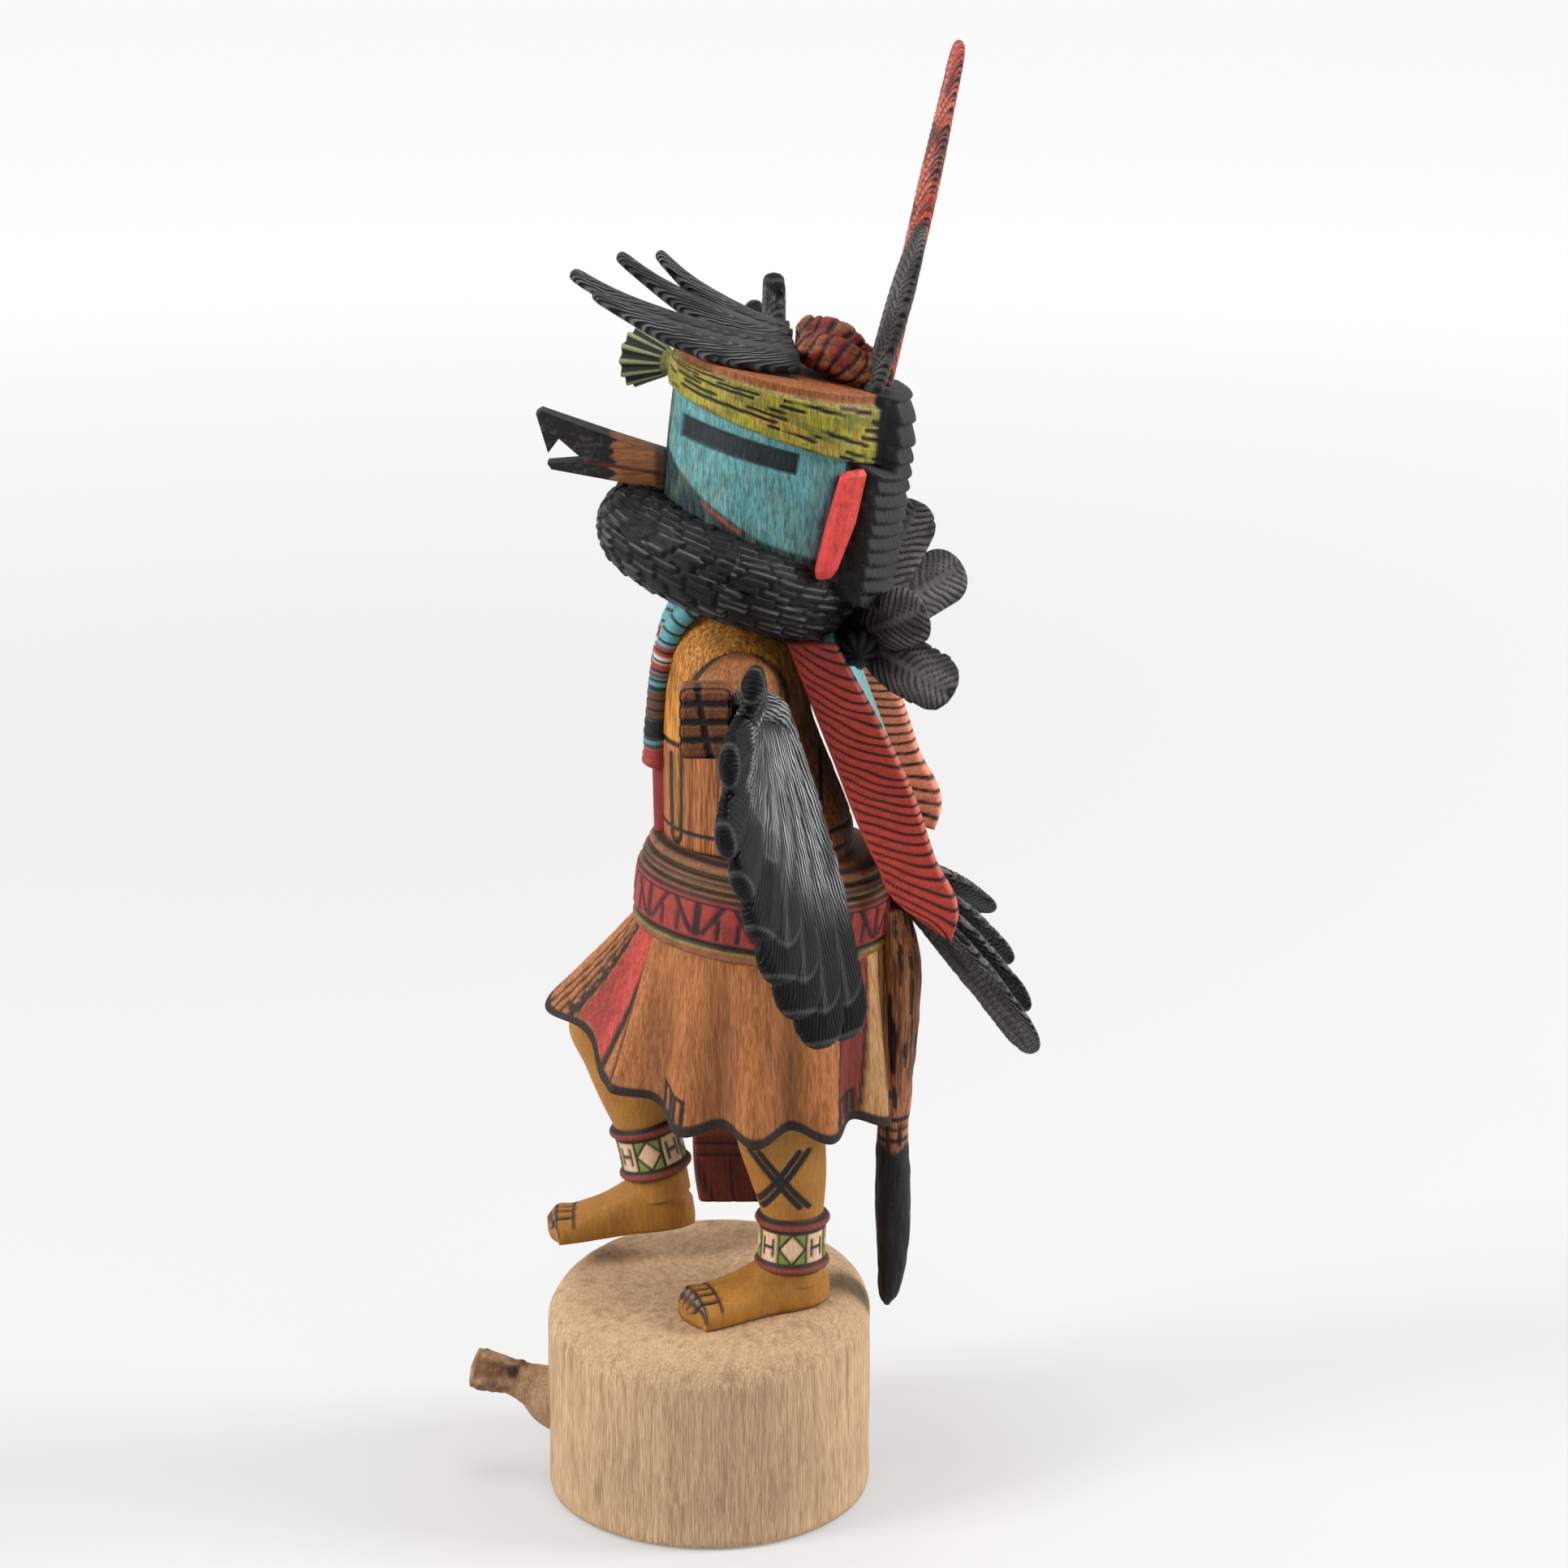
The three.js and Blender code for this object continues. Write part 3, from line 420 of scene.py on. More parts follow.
class Wire:
    """A value on a shader's socket that takes sums."""

    def __init__(self, shader, socket):
        self.shader = shader
        self.socket = socket

    def shader_outputs(self):
        return {out.name: Wire(self.shader, out) for out in self.socket.node.outputs}

    def __add__(self, other):
        return self.shader.maths("ADD", self, other)

    def __sub__(self, other):
        return self.shader.maths("SUBTRACT", self, other)

    def __mul__(self, other):
        return self.shader.maths("MULTIPLY", self, other)

    def __rsub__(self, other):
        return self.shader.maths("SUBTRACT", other, self)

    __radd__ = __add__
    __rmul__ = __mul__


class Finish:
    """A material made of nodes."""

    def __init__(self, name):
        self.material = bpy.data.materials.new(name)
        self.material.use_nodes = True
        self.tree = self.material.node_tree
        self.shader = self.tree.nodes["Principled BSDF"]

    def maths(self, operation, *values):
        return self.node("ShaderNodeMath", {"operation": operation}, dict(enumerate(values)))

    def node(self, kind, settings, inputs, output=0):
        made = self.tree.nodes.new(kind)
        for key, value in settings.items():
            setattr(made, key, value)
        for key, value in inputs.items():
            self.feed(made.inputs[key], value)
        return Wire(self, made.outputs[output])

    def feed(self, socket, value):
        if isinstance(value, Wire):
            self.tree.links.new(value.socket, socket)
        else:
            socket.default_value = value

    def mix_colors(self, blend, factor, a, b):
        settings = {"data_type": "RGBA", "blend_type": blend}
        return self.node("ShaderNodeMix", settings, {0: factor, 6: a, 7: b}, 2)

    def ramp(self, value, low, high):
        inputs = {"Value": value, "From Min": low, "From Max": high}
        return self.node("ShaderNodeMapRange", {"interpolation_type": "SMOOTHSTEP"}, inputs)

    def noise(self, place, stretch, scale, detail=3):
        """Noise with cells of scale per metre, drawn out by stretch along each axis."""
        spread = self.node("ShaderNodeVectorMath", {"operation": "MULTIPLY"}, {0: place, 1: stretch})
        return self.node("ShaderNodeTexNoise", {}, {"Vector": spread, "Scale": scale, "Detail": detail})


def painted_wood(name, grain=(1, 1, 0.12), strength=0.45, roughness=0.72, relief=0.25, wear=0.12,
                 barbs=None, gloss=0.3):
    """Thin paint over carved wood: the paint's own colour, streaked by the grain and worn
    where the wood shows through. grain is how close the streaks lie along each axis. barbs
    gives the slant, the distance in millimetres, the amount and the colour of painted sheen lines along the barbs,
    which the third value of the vane attribute scales."""
    finish = Finish(name)
    place = finish.node("ShaderNodeTexCoord", {}, {}, "Object")
    color = finish.node("ShaderNodeAttribute", {"attribute_name": "paint"}, {}, "Color")
    streak = finish.noise(place, grain, 1500, 4)
    broad = finish.noise(place, grain, 420, 3)
    speckle = finish.noise(place, (1, 1, 1), 2600, 2)
    fine = finish.noise(place, grain, 3600, 2)
    dark = finish.ramp(streak, 0.6, 0.4) * 0.55 + finish.ramp(broad, 0.66, 0.34) * 0.3
    dark = dark + finish.ramp(fine, 0.58, 0.42) * 0.6
    deep = finish.mix_colors("MULTIPLY", dark * strength, color, (0.3, 0.22, 0.17, 1))
    pale = finish.ramp(speckle, 0.66, 0.76) * wear
    worn = finish.mix_colors("MIX", pale, deep, (0.62, 0.52, 0.42, 1))
    height = streak * 0.5 + fine * 0.4 + speckle * 0.2
    if barbs:
        slant, pitch, amount, bright = barbs
        vane = finish.node("ShaderNodeAttribute", {"attribute_name": "vane"}, {}, "Vector")
        split = finish.node("ShaderNodeSeparateXYZ", {}, {"Vector": vane}).shader_outputs()
        sway = finish.noise(vane, (0.2, 0.5, 0), 1, 1)
        phase = (split["X"] - split["Y"] * slant) * (1 / pitch) + sway * 1.2
        ridge = finish.maths("ABSOLUTE", finish.maths("FRACT", phase) - 0.5) * 2
        patches = finish.ramp(finish.noise(vane, (0.09, 0.35, 0), 1, 2), 0.35, 0.62)
        # Painted sheen: lighter lines along the barbs, in patches, as strong as the vane's third value
        barb_sheen = finish.ramp(ridge, 0.35, 0.9) * (patches * 0.75 + 0.25) * split["Z"]
        worn = finish.mix_colors("MIX", barb_sheen * amount, worn, (*bright, 1))
        height = height * 0.3 + finish.ramp(ridge, 0.1, 0.7) * 1.2
    finish.feed(finish.shader.inputs["Base Color"], worn)
    finish.feed(finish.shader.inputs["Roughness"], roughness - speckle * 0.16)
    finish.shader.inputs["Specular IOR Level"].default_value = gloss
    bump = finish.node("ShaderNodeBump", {}, {"Strength": relief, "Distance": 0.0004, "Height": height})
    finish.feed(finish.shader.inputs["Normal"], bump)
    return finish.material


# Root base


def base_top(x, y):
    return BASE_HEIGHT + BASE_SLOPE[0] * x + BASE_SLOPE[1] * y


def root_slice(angle, share):
    arc = np.linspace(0, math.pi / 2, 20)
    radii = [0, 30, BASE_RADIUS - 1.2, BASE_RADIUS - 0.4, BASE_RADIUS, BASE_RADIUS]
    heights = [0, 0, 0, 0.4, 1.2, BASE_HEIGHT - BASE_EDGE]
    radii = np.concatenate([radii, BASE_RADIUS - BASE_EDGE * (1 - np.cos(arc)), [10, 0]])
    heights = np.concatenate([heights, BASE_HEIGHT - BASE_EDGE * (1 - np.sin(arc)), [BASE_HEIGHT] * 2])
    marks = np.concatenate([[0], np.cumsum(np.hypot(np.diff(radii), np.diff(heights)))])
    radius = np.interp(share, marks / marks[-1], radii)
    height = np.interp(share, marks / marks[-1], heights)
    turn = np.radians(angle)
    round_ = 1 + 0.012 * np.cos(2 * turn + 0.6) + 0.007 * np.cos(3 * turn - 1)
    x, y = radius * np.cos(turn), radius * np.sin(turn)
    tip = (base_top(x, y) - BASE_HEIGHT) * smooth(0.4 * BASE_HEIGHT, BASE_HEIGHT - BASE_EDGE, height)
    places = spots(x * round_, y * round_, height + tip)
    side = smooth(3, 8, height) * smooth(BASE_RADIUS - 9, BASE_RADIUS - 2, radius)
    ridges = noise(places, (1.6, 1.6, 26)) - 0.5
    dents = noise(places, 7) - 0.5
    places += outward(turn) * (side * (0.28 * ridges + 0.3 * dents))[:, None]
    coat = Coat(places, "root")
    coat.shade(1 - 0.1 * side * noise(places, (0.9, 0.9, 30)) - 0.07 * noise(places, 14))
    end_grain = smooth(BASE_HEIGHT - 4, BASE_HEIGHT, height) * noise(places, 1.1)
    coat.over((160, 126, 92), 0.5 * smooth(0.5, 0.8, end_grain))
    streaks = side * smooth(0.72, 0.9, noise(places, (1.3, 1.3, 9)))
    coat.over((138, 104, 72), 0.45 * streaks)
    return places, coat.color


def branch_stub(angle, share):
    start, end = np.array(STUB_RUN)
    widths = [(0, 8.4), (0.26, 6.6), (0.42, 4.6), (0.6, 3.8), (0.78, 4.1), (0.93, 4), (0.985, 2.6), (1, 0)]
    stations = []
    for t, radius in widths:
        x, y, z = mix(start, end, t)
        stations.append((x, y, z + 1.8 * smooth(0.2, 0.6, t), radius))
    centre, radius, spoke = swept(angle, share, stations)
    places = centre + spoke * radius[:, None]
    bark = noise(places, (1.1, 1.6, 1.1)) - 0.5
    places += spoke * (smooth(0.35, 0.5, share) * np.minimum(1, radius) * 0.9 * bark)[:, None]
    coat = Coat(places, (176, 142, 108))
    coat.over((132, 94, 62), smooth(0.4, 0.6, share) * smooth(0.35, 0.75, noise(places, 1.6)))
    coat.over((62, 40, 28), within(share, 0.55, 0.78, 0.06) * smooth(0.4, 0.7, noise(places, 2.6)))
    return places, coat.color


class OBJECT_OT_doll_base(bpy.types.Operator):
    """Make the root slice with its branch stub"""
    bl_idname = "object.doll_base"
    bl_label = "Root base"

    def execute(self, context):
        shells = [shell("slice", 190, 90, root_slice, NEAR), shell("stub", 44, 60, branch_stub)]
        wood = painted_wood("bare_root", (1.9, 1.9, 0.08), 0.5, 0.85, 0.5, 0.3)
        piece("root_base", shells, wood, ["base"], "bare_root")
        return {"FINISHED"}


# Legs and feet


def anklet(angle, share, coat):
    """Paint of an anklet where share runs from 0 at its foot to 1 at its top. Gives its lines."""
    coat.over("cream", within(share, 0, 1, 0.01))
    coat.over((132, 60, 46), most(within(share, 0, 0.19, 0.015), within(share, 0.81, 1, 0.015)))
    high = (share - 0.5) / 0.28
    wide = turn_from((angle + 45) % 90, 45) / 24
    panel = (1 - smooth(0.96, 1.04, np.abs(wide))) * within(high, -1, 1, 0.05)
    diamond = np.abs(wide) * 1.05 + np.abs(high)
    coat.over("green", panel * smooth(0.96, 1.04, diamond))
    far = turn_from(angle % 90, 45) / 21
    cross = line(np.abs(far), 0.5, 0.26, 0.06) * within(high, -0.62, 0.62, 0.08)
    cross = most(cross, line(high, 0, 0.26, 0.06) * (1 - smooth(0.5, 0.6, np.abs(far))))
    sides = line(np.abs(wide), 1.02, 0.2, 0.05) * within(high, -1, 1, 0.05)
    lines = most(cross, panel * line(diamond, 1, 0.26, 0.06), sides)
    lines = most(lines, lines_at(share, (0, 0.19, 0.81, 1), 0.075, 0.014))
    coat.over("black", lines * 0.97)
    return lines * within(share, -0.1, 1.1, 0.02)


def leg(stations, ankle, lean):
    """Gives the shape of a leg through stations of (rise, x, y, radius)."""
    sine, cosine = math.sin(math.radians(lean)), math.cos(math.radians(lean))
    up, back = vec(0, -sine, cosine), vec(0, cosine, sine)

    def shape(angle, share):
        depth = carving("line_depth")
        rise = mix(stations[0][0], stations[-1][0], smooth_ends(share))
        turn = np.radians(angle)
        across, forward, radius = flows(stations, rise)
        band = rise / ANKLET_HEIGHT
        rolls = bell(band - 0.09, 0.085) + bell(band - 0.91, 0.085)
        raised = within(band, 0, 1, 0.02) * (0.7 + 0.75 * rolls)
        coat = Coat(angle, "ochre")
        lines = anklet(angle, band, coat)
        radius = radius + raised - lines * depth * 0.7
        calf = 0.5 * bell(rise - 29, 9) * np.cos(turn - math.pi / 2)
        spoke = np.cos(turn)[:, None] * vec(1, 0, 0) + np.sin(turn)[:, None] * back
        middle = np.array(ankle) + up * rise[:, None] + spots(across, forward, 0)
        places = middle + spoke * ((radius + calf) * inside(share))[:, None]
        bare = 1 - within(band, -0.02, 1.02, 0.01)
        coat.over((150, 92, 34), 0.35 * bare * smooth(0.45, 0.8, noise(places, 5)))
        if lean == 0:
            y, z = places[:, 1], places[:, 2]
            near = (np.cos(turn) > 0.15) * (rise > ANKLET_HEIGHT + 1)
            crossed = (((9.6, 81), (19.8, 68.6)), ((19.8, 81.2), (10.2, 67.8)))
            marks = near * most(*(stroke(y, z, (a + shift, b), (c + shift, d), 1.35)
                                  for (a, b), (c, d) in crossed for shift in (-0.95, 0.95)))
            coat.over("black", marks)
            places -= spoke * (marks * depth)[:, None]
        return places, coat.color

    return shape


def foot(place, turn, pitch):
    """Gives the shape of a foot with its heel at place, turned and pitched in degrees."""
    wide = [(0, 0.3), (0.05, 0.55), (0.14, 0.76), (0.28, 0.82), (0.42, 0.78), (0.6, 0.88),
            (0.8, 1), (0.94, 0.95), (1, 0.72)]
    tall = [(0, 5), (0.05, 8), (0.14, 11.5), (0.28, 12.8), (0.42, 10.6), (0.6, 7.8), (0.8, 6),
            (0.94, 5.2), (1, 3.4)]

    def shape(angle, share):
        ends = smooth_ends(share)
        sine, cosine = np.sin(np.radians(angle)), np.cos(np.radians(angle))
        top = flow(tall, ends)
        half = FOOT_WIDTH / 2 * flow(wide, ends)
        cap = inside(share)
        x = half * cosine * cap
        rise = np.where(sine > 0, 0.6 * top * np.abs(sine) ** 0.8, -0.4 * top * np.minimum(1, 2.4 * -sine))
        z = 0.4 * top + rise * cap
        y = HEEL_BACK - FOOT_LENGTH * ends
        toes = smooth(0.74, 0.84, ends) * (sine > -0.1)
        slots = toes * lines_at(x / half, (-0.56, -0.16, 0.22, 0.6), 0.15, 0.05)
        knuckle = 0.45 * toes * np.abs(np.sin((x / half + 0.16) * math.pi / 0.39)) * bell(ends - 0.93, 0.06)
        z = z - 0.5 * slots + knuckle
        y = y + 1.3 * smooth(0.9, 1, ends) * (0.4 + x / half) ** 2
        coat = Coat(x, "ochre")
        nails = toes * within(ends, 0.905, 0.985, 0.008)
        coat.over("black", np.maximum(slots, 0.95 * nails))
        coat.over((138, 122, 96), toes * within(ends, 0.935, 0.958, 0.005) * (1 - slots))
        cross = line(ends, 0.8, 0.022, 0.008) * smooth(0.1, 0.3, sine)
        coat.over("black", 0.95 * cross)
        y, z = rotated(y, z, -pitch)
        x, y = rotated(x, y, -turn)
        x, y = x + place[0], y + place[1]
        ground = GAP + base_top(x, y) if turn else place[2]
        places = spots(x, y, z + ground)
        coat.over((150, 92, 34), 0.3 * smooth(0.45, 0.8, noise(places, 4)))
        return places, coat.color

    return shape


class OBJECT_OT_doll_legs(bpy.types.Operator):
    """Make both legs with their anklets and feet"""
    bl_idname = "object.doll_legs"
    bl_label = "Legs and feet"

    def execute(self, context):
        wood = painted_wood("ochre_paint", (1, 1, 0.16), 0.28, 0.7, 0.2, 0.05)
        low = base_top(*LEFT_ANKLE) + ANKLE_RISE
        left = [(-3.5, -0.4, 0.4, 6.2), (0, 0, 0, 6.4), (11.6, 0, 0, 6.5), (19, -0.2, -1, 7.9),
                (27, -0.3, -2.7, 9.1), (36, -0.5, -3.8, 9.4), (48, -0.9, -4.8, 9.6)]
        right = [(-5.5, 0, 0, 6.1), (0, 0, 0, 6.4), (11.6, 0, 0, 6.5), (18, 0, 0, 7.9),
                 (26, 0, -0.4, 9.1), (36, 0, -1, 9.6), (46, 1, 8, 10)]
        shells = [
            shell("left_leg", 104, 150, leg(left, (*LEFT_ANKLE, low), 0), NEAR),
            shell("right_leg", 92, 140, leg(right, RIGHT_ANKLE, RIGHT_SHIN_LEAN), NEAR),
        ]
        piece("legs", shells, wood)
        shells = [
            shell("left_foot", 72, 90, foot(LEFT_HEEL, LEFT_FOOT_TURN, 0)),
            shell("right_foot", 72, 90, foot(RIGHT_HEEL, 0, RIGHT_FOOT_PITCH)),
        ]
        piece("feet", shells, wood)
        return {"FINISHED"}


# Kilt and belt


def flute(angle):
    """1 on the ridge of each flute of the kilt and -1 in the valleys."""
    return np.cos(KILT_FLUTES * np.radians(angle) + 0.6)


def hem_radius(angle):
    return 27.5 + 17 * bell(turn_from(angle, KNEE_SIDE), 40) + 1.9 * flute(angle)


def hem_height(angle):
    return 88 + 20 * bell(turn_from(angle, KNEE_SIDE), 42) - 1.3 * flute(angle)


def belt_drop(angle, radius):
    return -np.sin(np.radians(angle)) * radius * math.tan(math.radians(BELT_TILT))


def kilt(angle, share):
    """The cloth falls from the belt, turns under at the hem and closes inside."""
    fall = np.clip(share / FALL_SHARE, 0, 1)
    under = np.clip((share - FALL_SHARE) / (1 - FALL_SHARE), 0, 1)
    turn = np.radians(angle)
    wrap = turn_from(angle, -62)
    edge = 1.2 * smooth(-2, 2.5, wrap) * smooth(150, 144, wrap) * smooth(0, 0.12, fall)
    radius = mix(KILT_WAIST, hem_radius(angle), fall ** 1.1) + edge
    height = mix(KILT_TOP + belt_drop(angle, KILT_WAIST), hem_height(angle), fall)
    coat = Coat(angle, ("brown", 1.12))
    # The red panel over the raised knee, its stripes and its scalloped border
    left = mix(-78, -84, fall)
    right = mix(-60, -67.5, fall)
    signed = turn_from(angle, 0)
    panel = within(signed, left + 1, right - 1, 0.5) * within(fall, 0.03, 0.93, 0.012)
    coat.over(("red", 1.5), panel)
    stripes = most(line(signed, left - 0.4, 1.4, 0.25), lines_at(signed - left, (-3.8, -6.6, -9.6), 1.2, 0.25))
    scallop = line(signed, left - 0.9 - 1.1 * np.abs(np.sin(fall * 30)), 1.5, 0.3) * (fall < 0.95)
    lines = most(stripes * (fall < 0.97), scallop, line(signed, right, 2.3, 0.4), 0.9 * line(wrap, 0, 1.6, 0.5))
    # The stripe down the back hip
    start = mix(42, 31, fall)
    back_strip = within(signed, start, start + 14, 0.5) * within(fall, 0, 0.94, 0.01)
    coat.over((140, 46, 38), 0.9 * back_strip)
    coat.over((196, 150, 96), within(signed, start + 16, start + 27, 0.6) * (fall < 0.95))
    hem = smooth(0.94, 0.955, fall + 0.004 * np.sin(9 * turn))
    edges = lines_at(signed - start, (0, 14.2, 27.5, 36), 1.5, 0.3) * (fall < 0.97)
    lines = most(lines, edges, hem * (1 - under * 0.5))
    for centre in (-104, -38, 38, 100, 170):
        tab = np.abs(turn_from(angle, centre))
        mark = line(tab, 1.2, 2.2, 0.3) + line(tab, 5.2, 2.2, 0.3) + line(fall, 0.83, 0.022, 0.005) * (tab < 6)
        lines = np.maximum(lines, np.clip(mark, 0, 1) * within(fall, 0.82, 0.97, 0.01))
    coat.over("black", np.clip(lines, 0, 1) * 0.96)
    radius -= carving("line_depth") * np.clip(lines, 0, 1) * (1 - hem)
    radius = np.where(under > 0, np.maximum(0, radius - under * 3 - under ** 3 * 60), radius)
    height = np.where(under > 0, height + 12 * smooth(0.1, 1, under), height)
    closed = inside(share)
    radius = radius * closed
    x, y = radius * np.cos(turn), radius * np.sin(turn)
    places = spots(WAIST[0] + x, WAIST[1] + y, height)
    places[share <= 1e-6] = (WAIST[0], WAIST[1], KILT_TOP)
    places[share >= 1 - 1e-6] = (WAIST[0], WAIST[1], KILT_INSIDE)
    grooves = noise(places, (0.8, 0.8, 14)) - 0.5
    places += outward(turn) * (0.3 * grooves * closed * (under < 0.3) * (1 - hem))[:, None]
    # Painted shade in the valleys of the flutes and a slight painted highlight on their ridges, growing from the
    # belt down
    coat.shade(1.05 - 0.34 * smooth(0.6, -1, flute(angle)) * smooth(0.1, 0.5, fall))
    coat.shade(1.04 - 0.14 * smooth(0.45, 0.85, noise(places, (1.4, 1.4, 22))))
    return places, coat.color


def belt(angle, share):
    rows = [(11.4, -24), (11.5, -5.5), (10.9, -2.6), (9.6, -1.9), (8.5, -2.7), (7.9, -1.2),
            (6.8, -0.7), (5.8, -1.5), (4.9, 0), (2, 0.25), (-2, 0.25), (-4.5, 0.15), (-5.1, -0.7),
            (-6.3, 0), (-7.9, -0.5), (-8.8, -3.2), (-9, -5.5), (-9, -24)]
    marks = np.concatenate([[0], np.cumsum([math.hypot(b[0] - a[0], (b[1] - a[1]) * 0.4) + 0.3
                                           for a, b in zip(rows, rows[1:])])])
    marks /= marks[-1]
    at = np.clip((share - 0.005) / 0.99, 0, 1)
    height = np.interp(at, marks, [r[0] for r in rows])
    radius = BELT_RADIUS + np.interp(at, marks, [r[1] for r in rows])
    turn = np.radians(angle)
    coat = Coat(angle, (142, 92, 58))
    band = within(height, -4.7, 4.9, 0.1)
    coat.over("red", band)
    # The band's pattern: slanted strokes and boxes between two border lines
    cell = (angle % 30) - 15
    lines = line(height, 4.6, 0.9) + line(height, -4.5, 1.0) + line(height, 3.3, 0.5)
    slant = stroke(cell, height * 3, (-12, -9), (-3, 9), 2.8, 0.5)
    slant = slant + stroke(cell, height * 3, (3, 9), (12, -9), 2.8, 0.5)
    lines = lines + band * (slant + line(np.abs(cell), 14.4, 2.3, 0.4) * within(height, -3.8, 3, 0.2))
    lines = lines + band * line(np.abs(cell), 4.6, 2.2, 0.4) * within(height, -3.8, 0.5, 0.2)
    lines = lines + lines_at(height, (10.9, 8.4, 7.4, 5.7, -5.3, -8.3), 0.8)
    coat.over("green", 0.6 * lines_at(height, (6.2, 9.2, -5.9), 0.5))
    lines = np.clip(lines, 0, 1)
    coat.over("black", lines * 0.9)
    radius = radius - lines * carving("line_depth")
    radius *= inside(share)
    y, z = rotated(radius * np.sin(turn), height, BELT_TILT)
    places = np.array(WAIST) + spots(radius * np.cos(turn), y, z)
    coat.shade(1.05 - 0.3 * smooth(0.4, 0.8, noise(places, 2.4)))
    return places, coat.color


class OBJECT_OT_doll_kilt(bpy.types.Operator):
    """Make the kilt and the wound belt"""
    bl_idname = "object.doll_kilt"
    bl_label = "Kilt and belt"

    def execute(self, context):
        wood = painted_wood("kilt_stain", (1, 1, 0.06), 0.55, 0.72, 0.5, 0.05)
        piece("kilt", [shell("kilt", 360, 132, kilt, NEAR, -40)], wood)
        wood = painted_wood("belt_paint", (0.6, 0.6, 0.6), 0.35, 0.7, 0.3, 0.06)
        piece("belt", [shell("belt", 272, 82, belt, NEAR)], wood)
        return {"FINISHED"}


# Torso, necklace, sash and fox skin


def torso(angle, share):
    deep = [(136, 19), (146, 19.4), (157, 17.6), (169, 15.4), (180, 14), (187, 12.2), (190, 10.2),
            (193, 7.5), (204, 7)]
    wide = [(136, 21), (146, 20.6), (157, 19.4), (169, 18.5), (180, 18.3), (187, 15.1), (190, 11.8),
            (193, 8), (204, 7)]
    middle = [(136, 10.6), (146, 10.5), (157, 8.6), (169, 6.2), (180, 5.6), (193, 5.4), (204, 7)]
    z = mix(deep[0][0], deep[-1][0], smooth_ends(share))
    turn = np.radians(angle)
    cap = inside(share)
    x = flow(wide, z) * np.cos(turn)
    y = flow(middle, z) + flow(deep, z) * np.sin(turn)
    left = smooth(0, 3, x)
    coat = Coat(angle, ("brown", 1.35))
    front = smooth(16.5, 14.5, y)
    yoke = smooth(166, 166.5, z + 0.25 * np.sin(y)) * front
    # The yoke takes the ochre 1.6 times as light as the legs, a painted light on the upper chest
    coat.over(("ochre", 1.6), yoke)
    speckle = smooth(184, 192, z) * smooth(0.6, 0.7, noise(spots(x, y, z), 0.5))
    coat.over("black", 0.55 * speckle)
    sleeve = line(np.hypot(y - 6.6, (z - 175) * 0.92), 10, 1.0) * (z > 172) * np.abs(np.cos(turn)) ** 0.3
    pleat = [((-7.2, 164), (-7, 147)), ((-5, 164.5), (-5.2, 147)), ((-7, 147), (-6.2, 144.8)),
             ((-5.2, 147), (-6.2, 144.8))]
    loop = [((18.4, 168), (18, 150.5)), ((23, 167), (23.4, 150)), ((18, 150.5), (20.8, 148.6)),
            ((20.8, 148.6), (23.4, 150))]
    strokes = most(*(stroke(y, z, start, end, 0.85) for start, end in pleat + loop)) * (np.abs(x) > 4)
    lines = most(line(z, 166.2, 1.0) * front, sleeve, lines_at(z, (148.4, 144.6, 140.6), 1.0), strokes)
    back = smooth(27.5, 29, y) * smooth(140, 146, z) * (1 - smooth(165, 172, z))
    coat.over((96, 40, 34), 0.85 * back)
    coat.over("ochre", within(y, -7.2, -5.2, 0.2) * within(z, 146, 164, 0.4) * left)
    coat.over("black", np.clip(lines, 0, 1) * 0.97)
    places = spots(x * cap, np.where(cap, y, flow(middle, z)), z)
    grooves = noise(places, (0.9, 0.9, 12)) - 0.5
    cut = carving("line_depth") * np.clip(lines, 0, 1) - 0.22 * grooves * (1 - yoke)
    places -= outward(turn) * (cut * cap)[:, None]
    coat.shade(1.06 - 0.3 * (1 - 0.6 * yoke) * smooth(0.4, 0.85, noise(places, (1.8, 1.8, 20))))
    # Painted shade: darker towards the back, by up to 30 %
    coat.shade(1 - 0.3 * smooth(12, 24, y))
    return places, coat.color


def strand(side):
    """Gives the shape of one strand of the necklace."""
    stations = [(side * 9, 0.5, 196, 1.6), (side * 7.6, -5.6, 190.5, 2.2), (side * 5.6, -8.6, 182, 2.3),
                (side * 4, -9.9, 172, 2.3), (side * 2.6, -10.4, 163, 2.4), (side * 1.8, -10.4, 159.4, 1.9),
                (side * 1.6, -10.4, 158.4, 0)]

    def shape(angle, share):
        centre, radius, spoke = swept(angle, share, stations)
        z = centre[:, 2]
        beads = [(186, "red"), (183.8, (206, 200, 188)), (182.2, "red"), (180.2, ("turquoise", 0.8)), (163.8, "red")]
        coat = Coat(z, "turquoise")
        for top, color in beads:
            coat.over(color, smooth(top + 0.3, top - 0.3, z))
        chips = noise(spots(z, 0, side), (1.9, 1, 1))
        zone = within(z, 164, 180, 0.3)
        coat.over((96, 66, 48), zone * smooth(0.5, 0.56, chips))
        coat.over("black", zone * smooth(0.42, 0.36, chips))
        groove = np.abs(np.sin(z / BEAD_PITCH * math.pi)) ** 0.5
        radius = radius * (1 + 0.1 * groove - 0.1)
        coat.over("black", 0.92 * smooth(0.72, 0.5, groove) * (z > 164))
        places = centre + spoke * radius[:, None]
        return places, coat.color

    return shape


def necklace_strip(angle, share):
    centre, radius, spoke = swept(angle, share, [(0, -8.6, 161, 2.6), (0, -8.4, 150, 2.6), (0, -8.2, 139, 2.6)])
    places = centre + spoke * (radius * inside(share))[:, None]
    coat = Coat(angle, (142, 40, 38))
    coat.shade(1.1 - 0.4 * noise(places, (1, 1, 5)))
    return places, coat.color


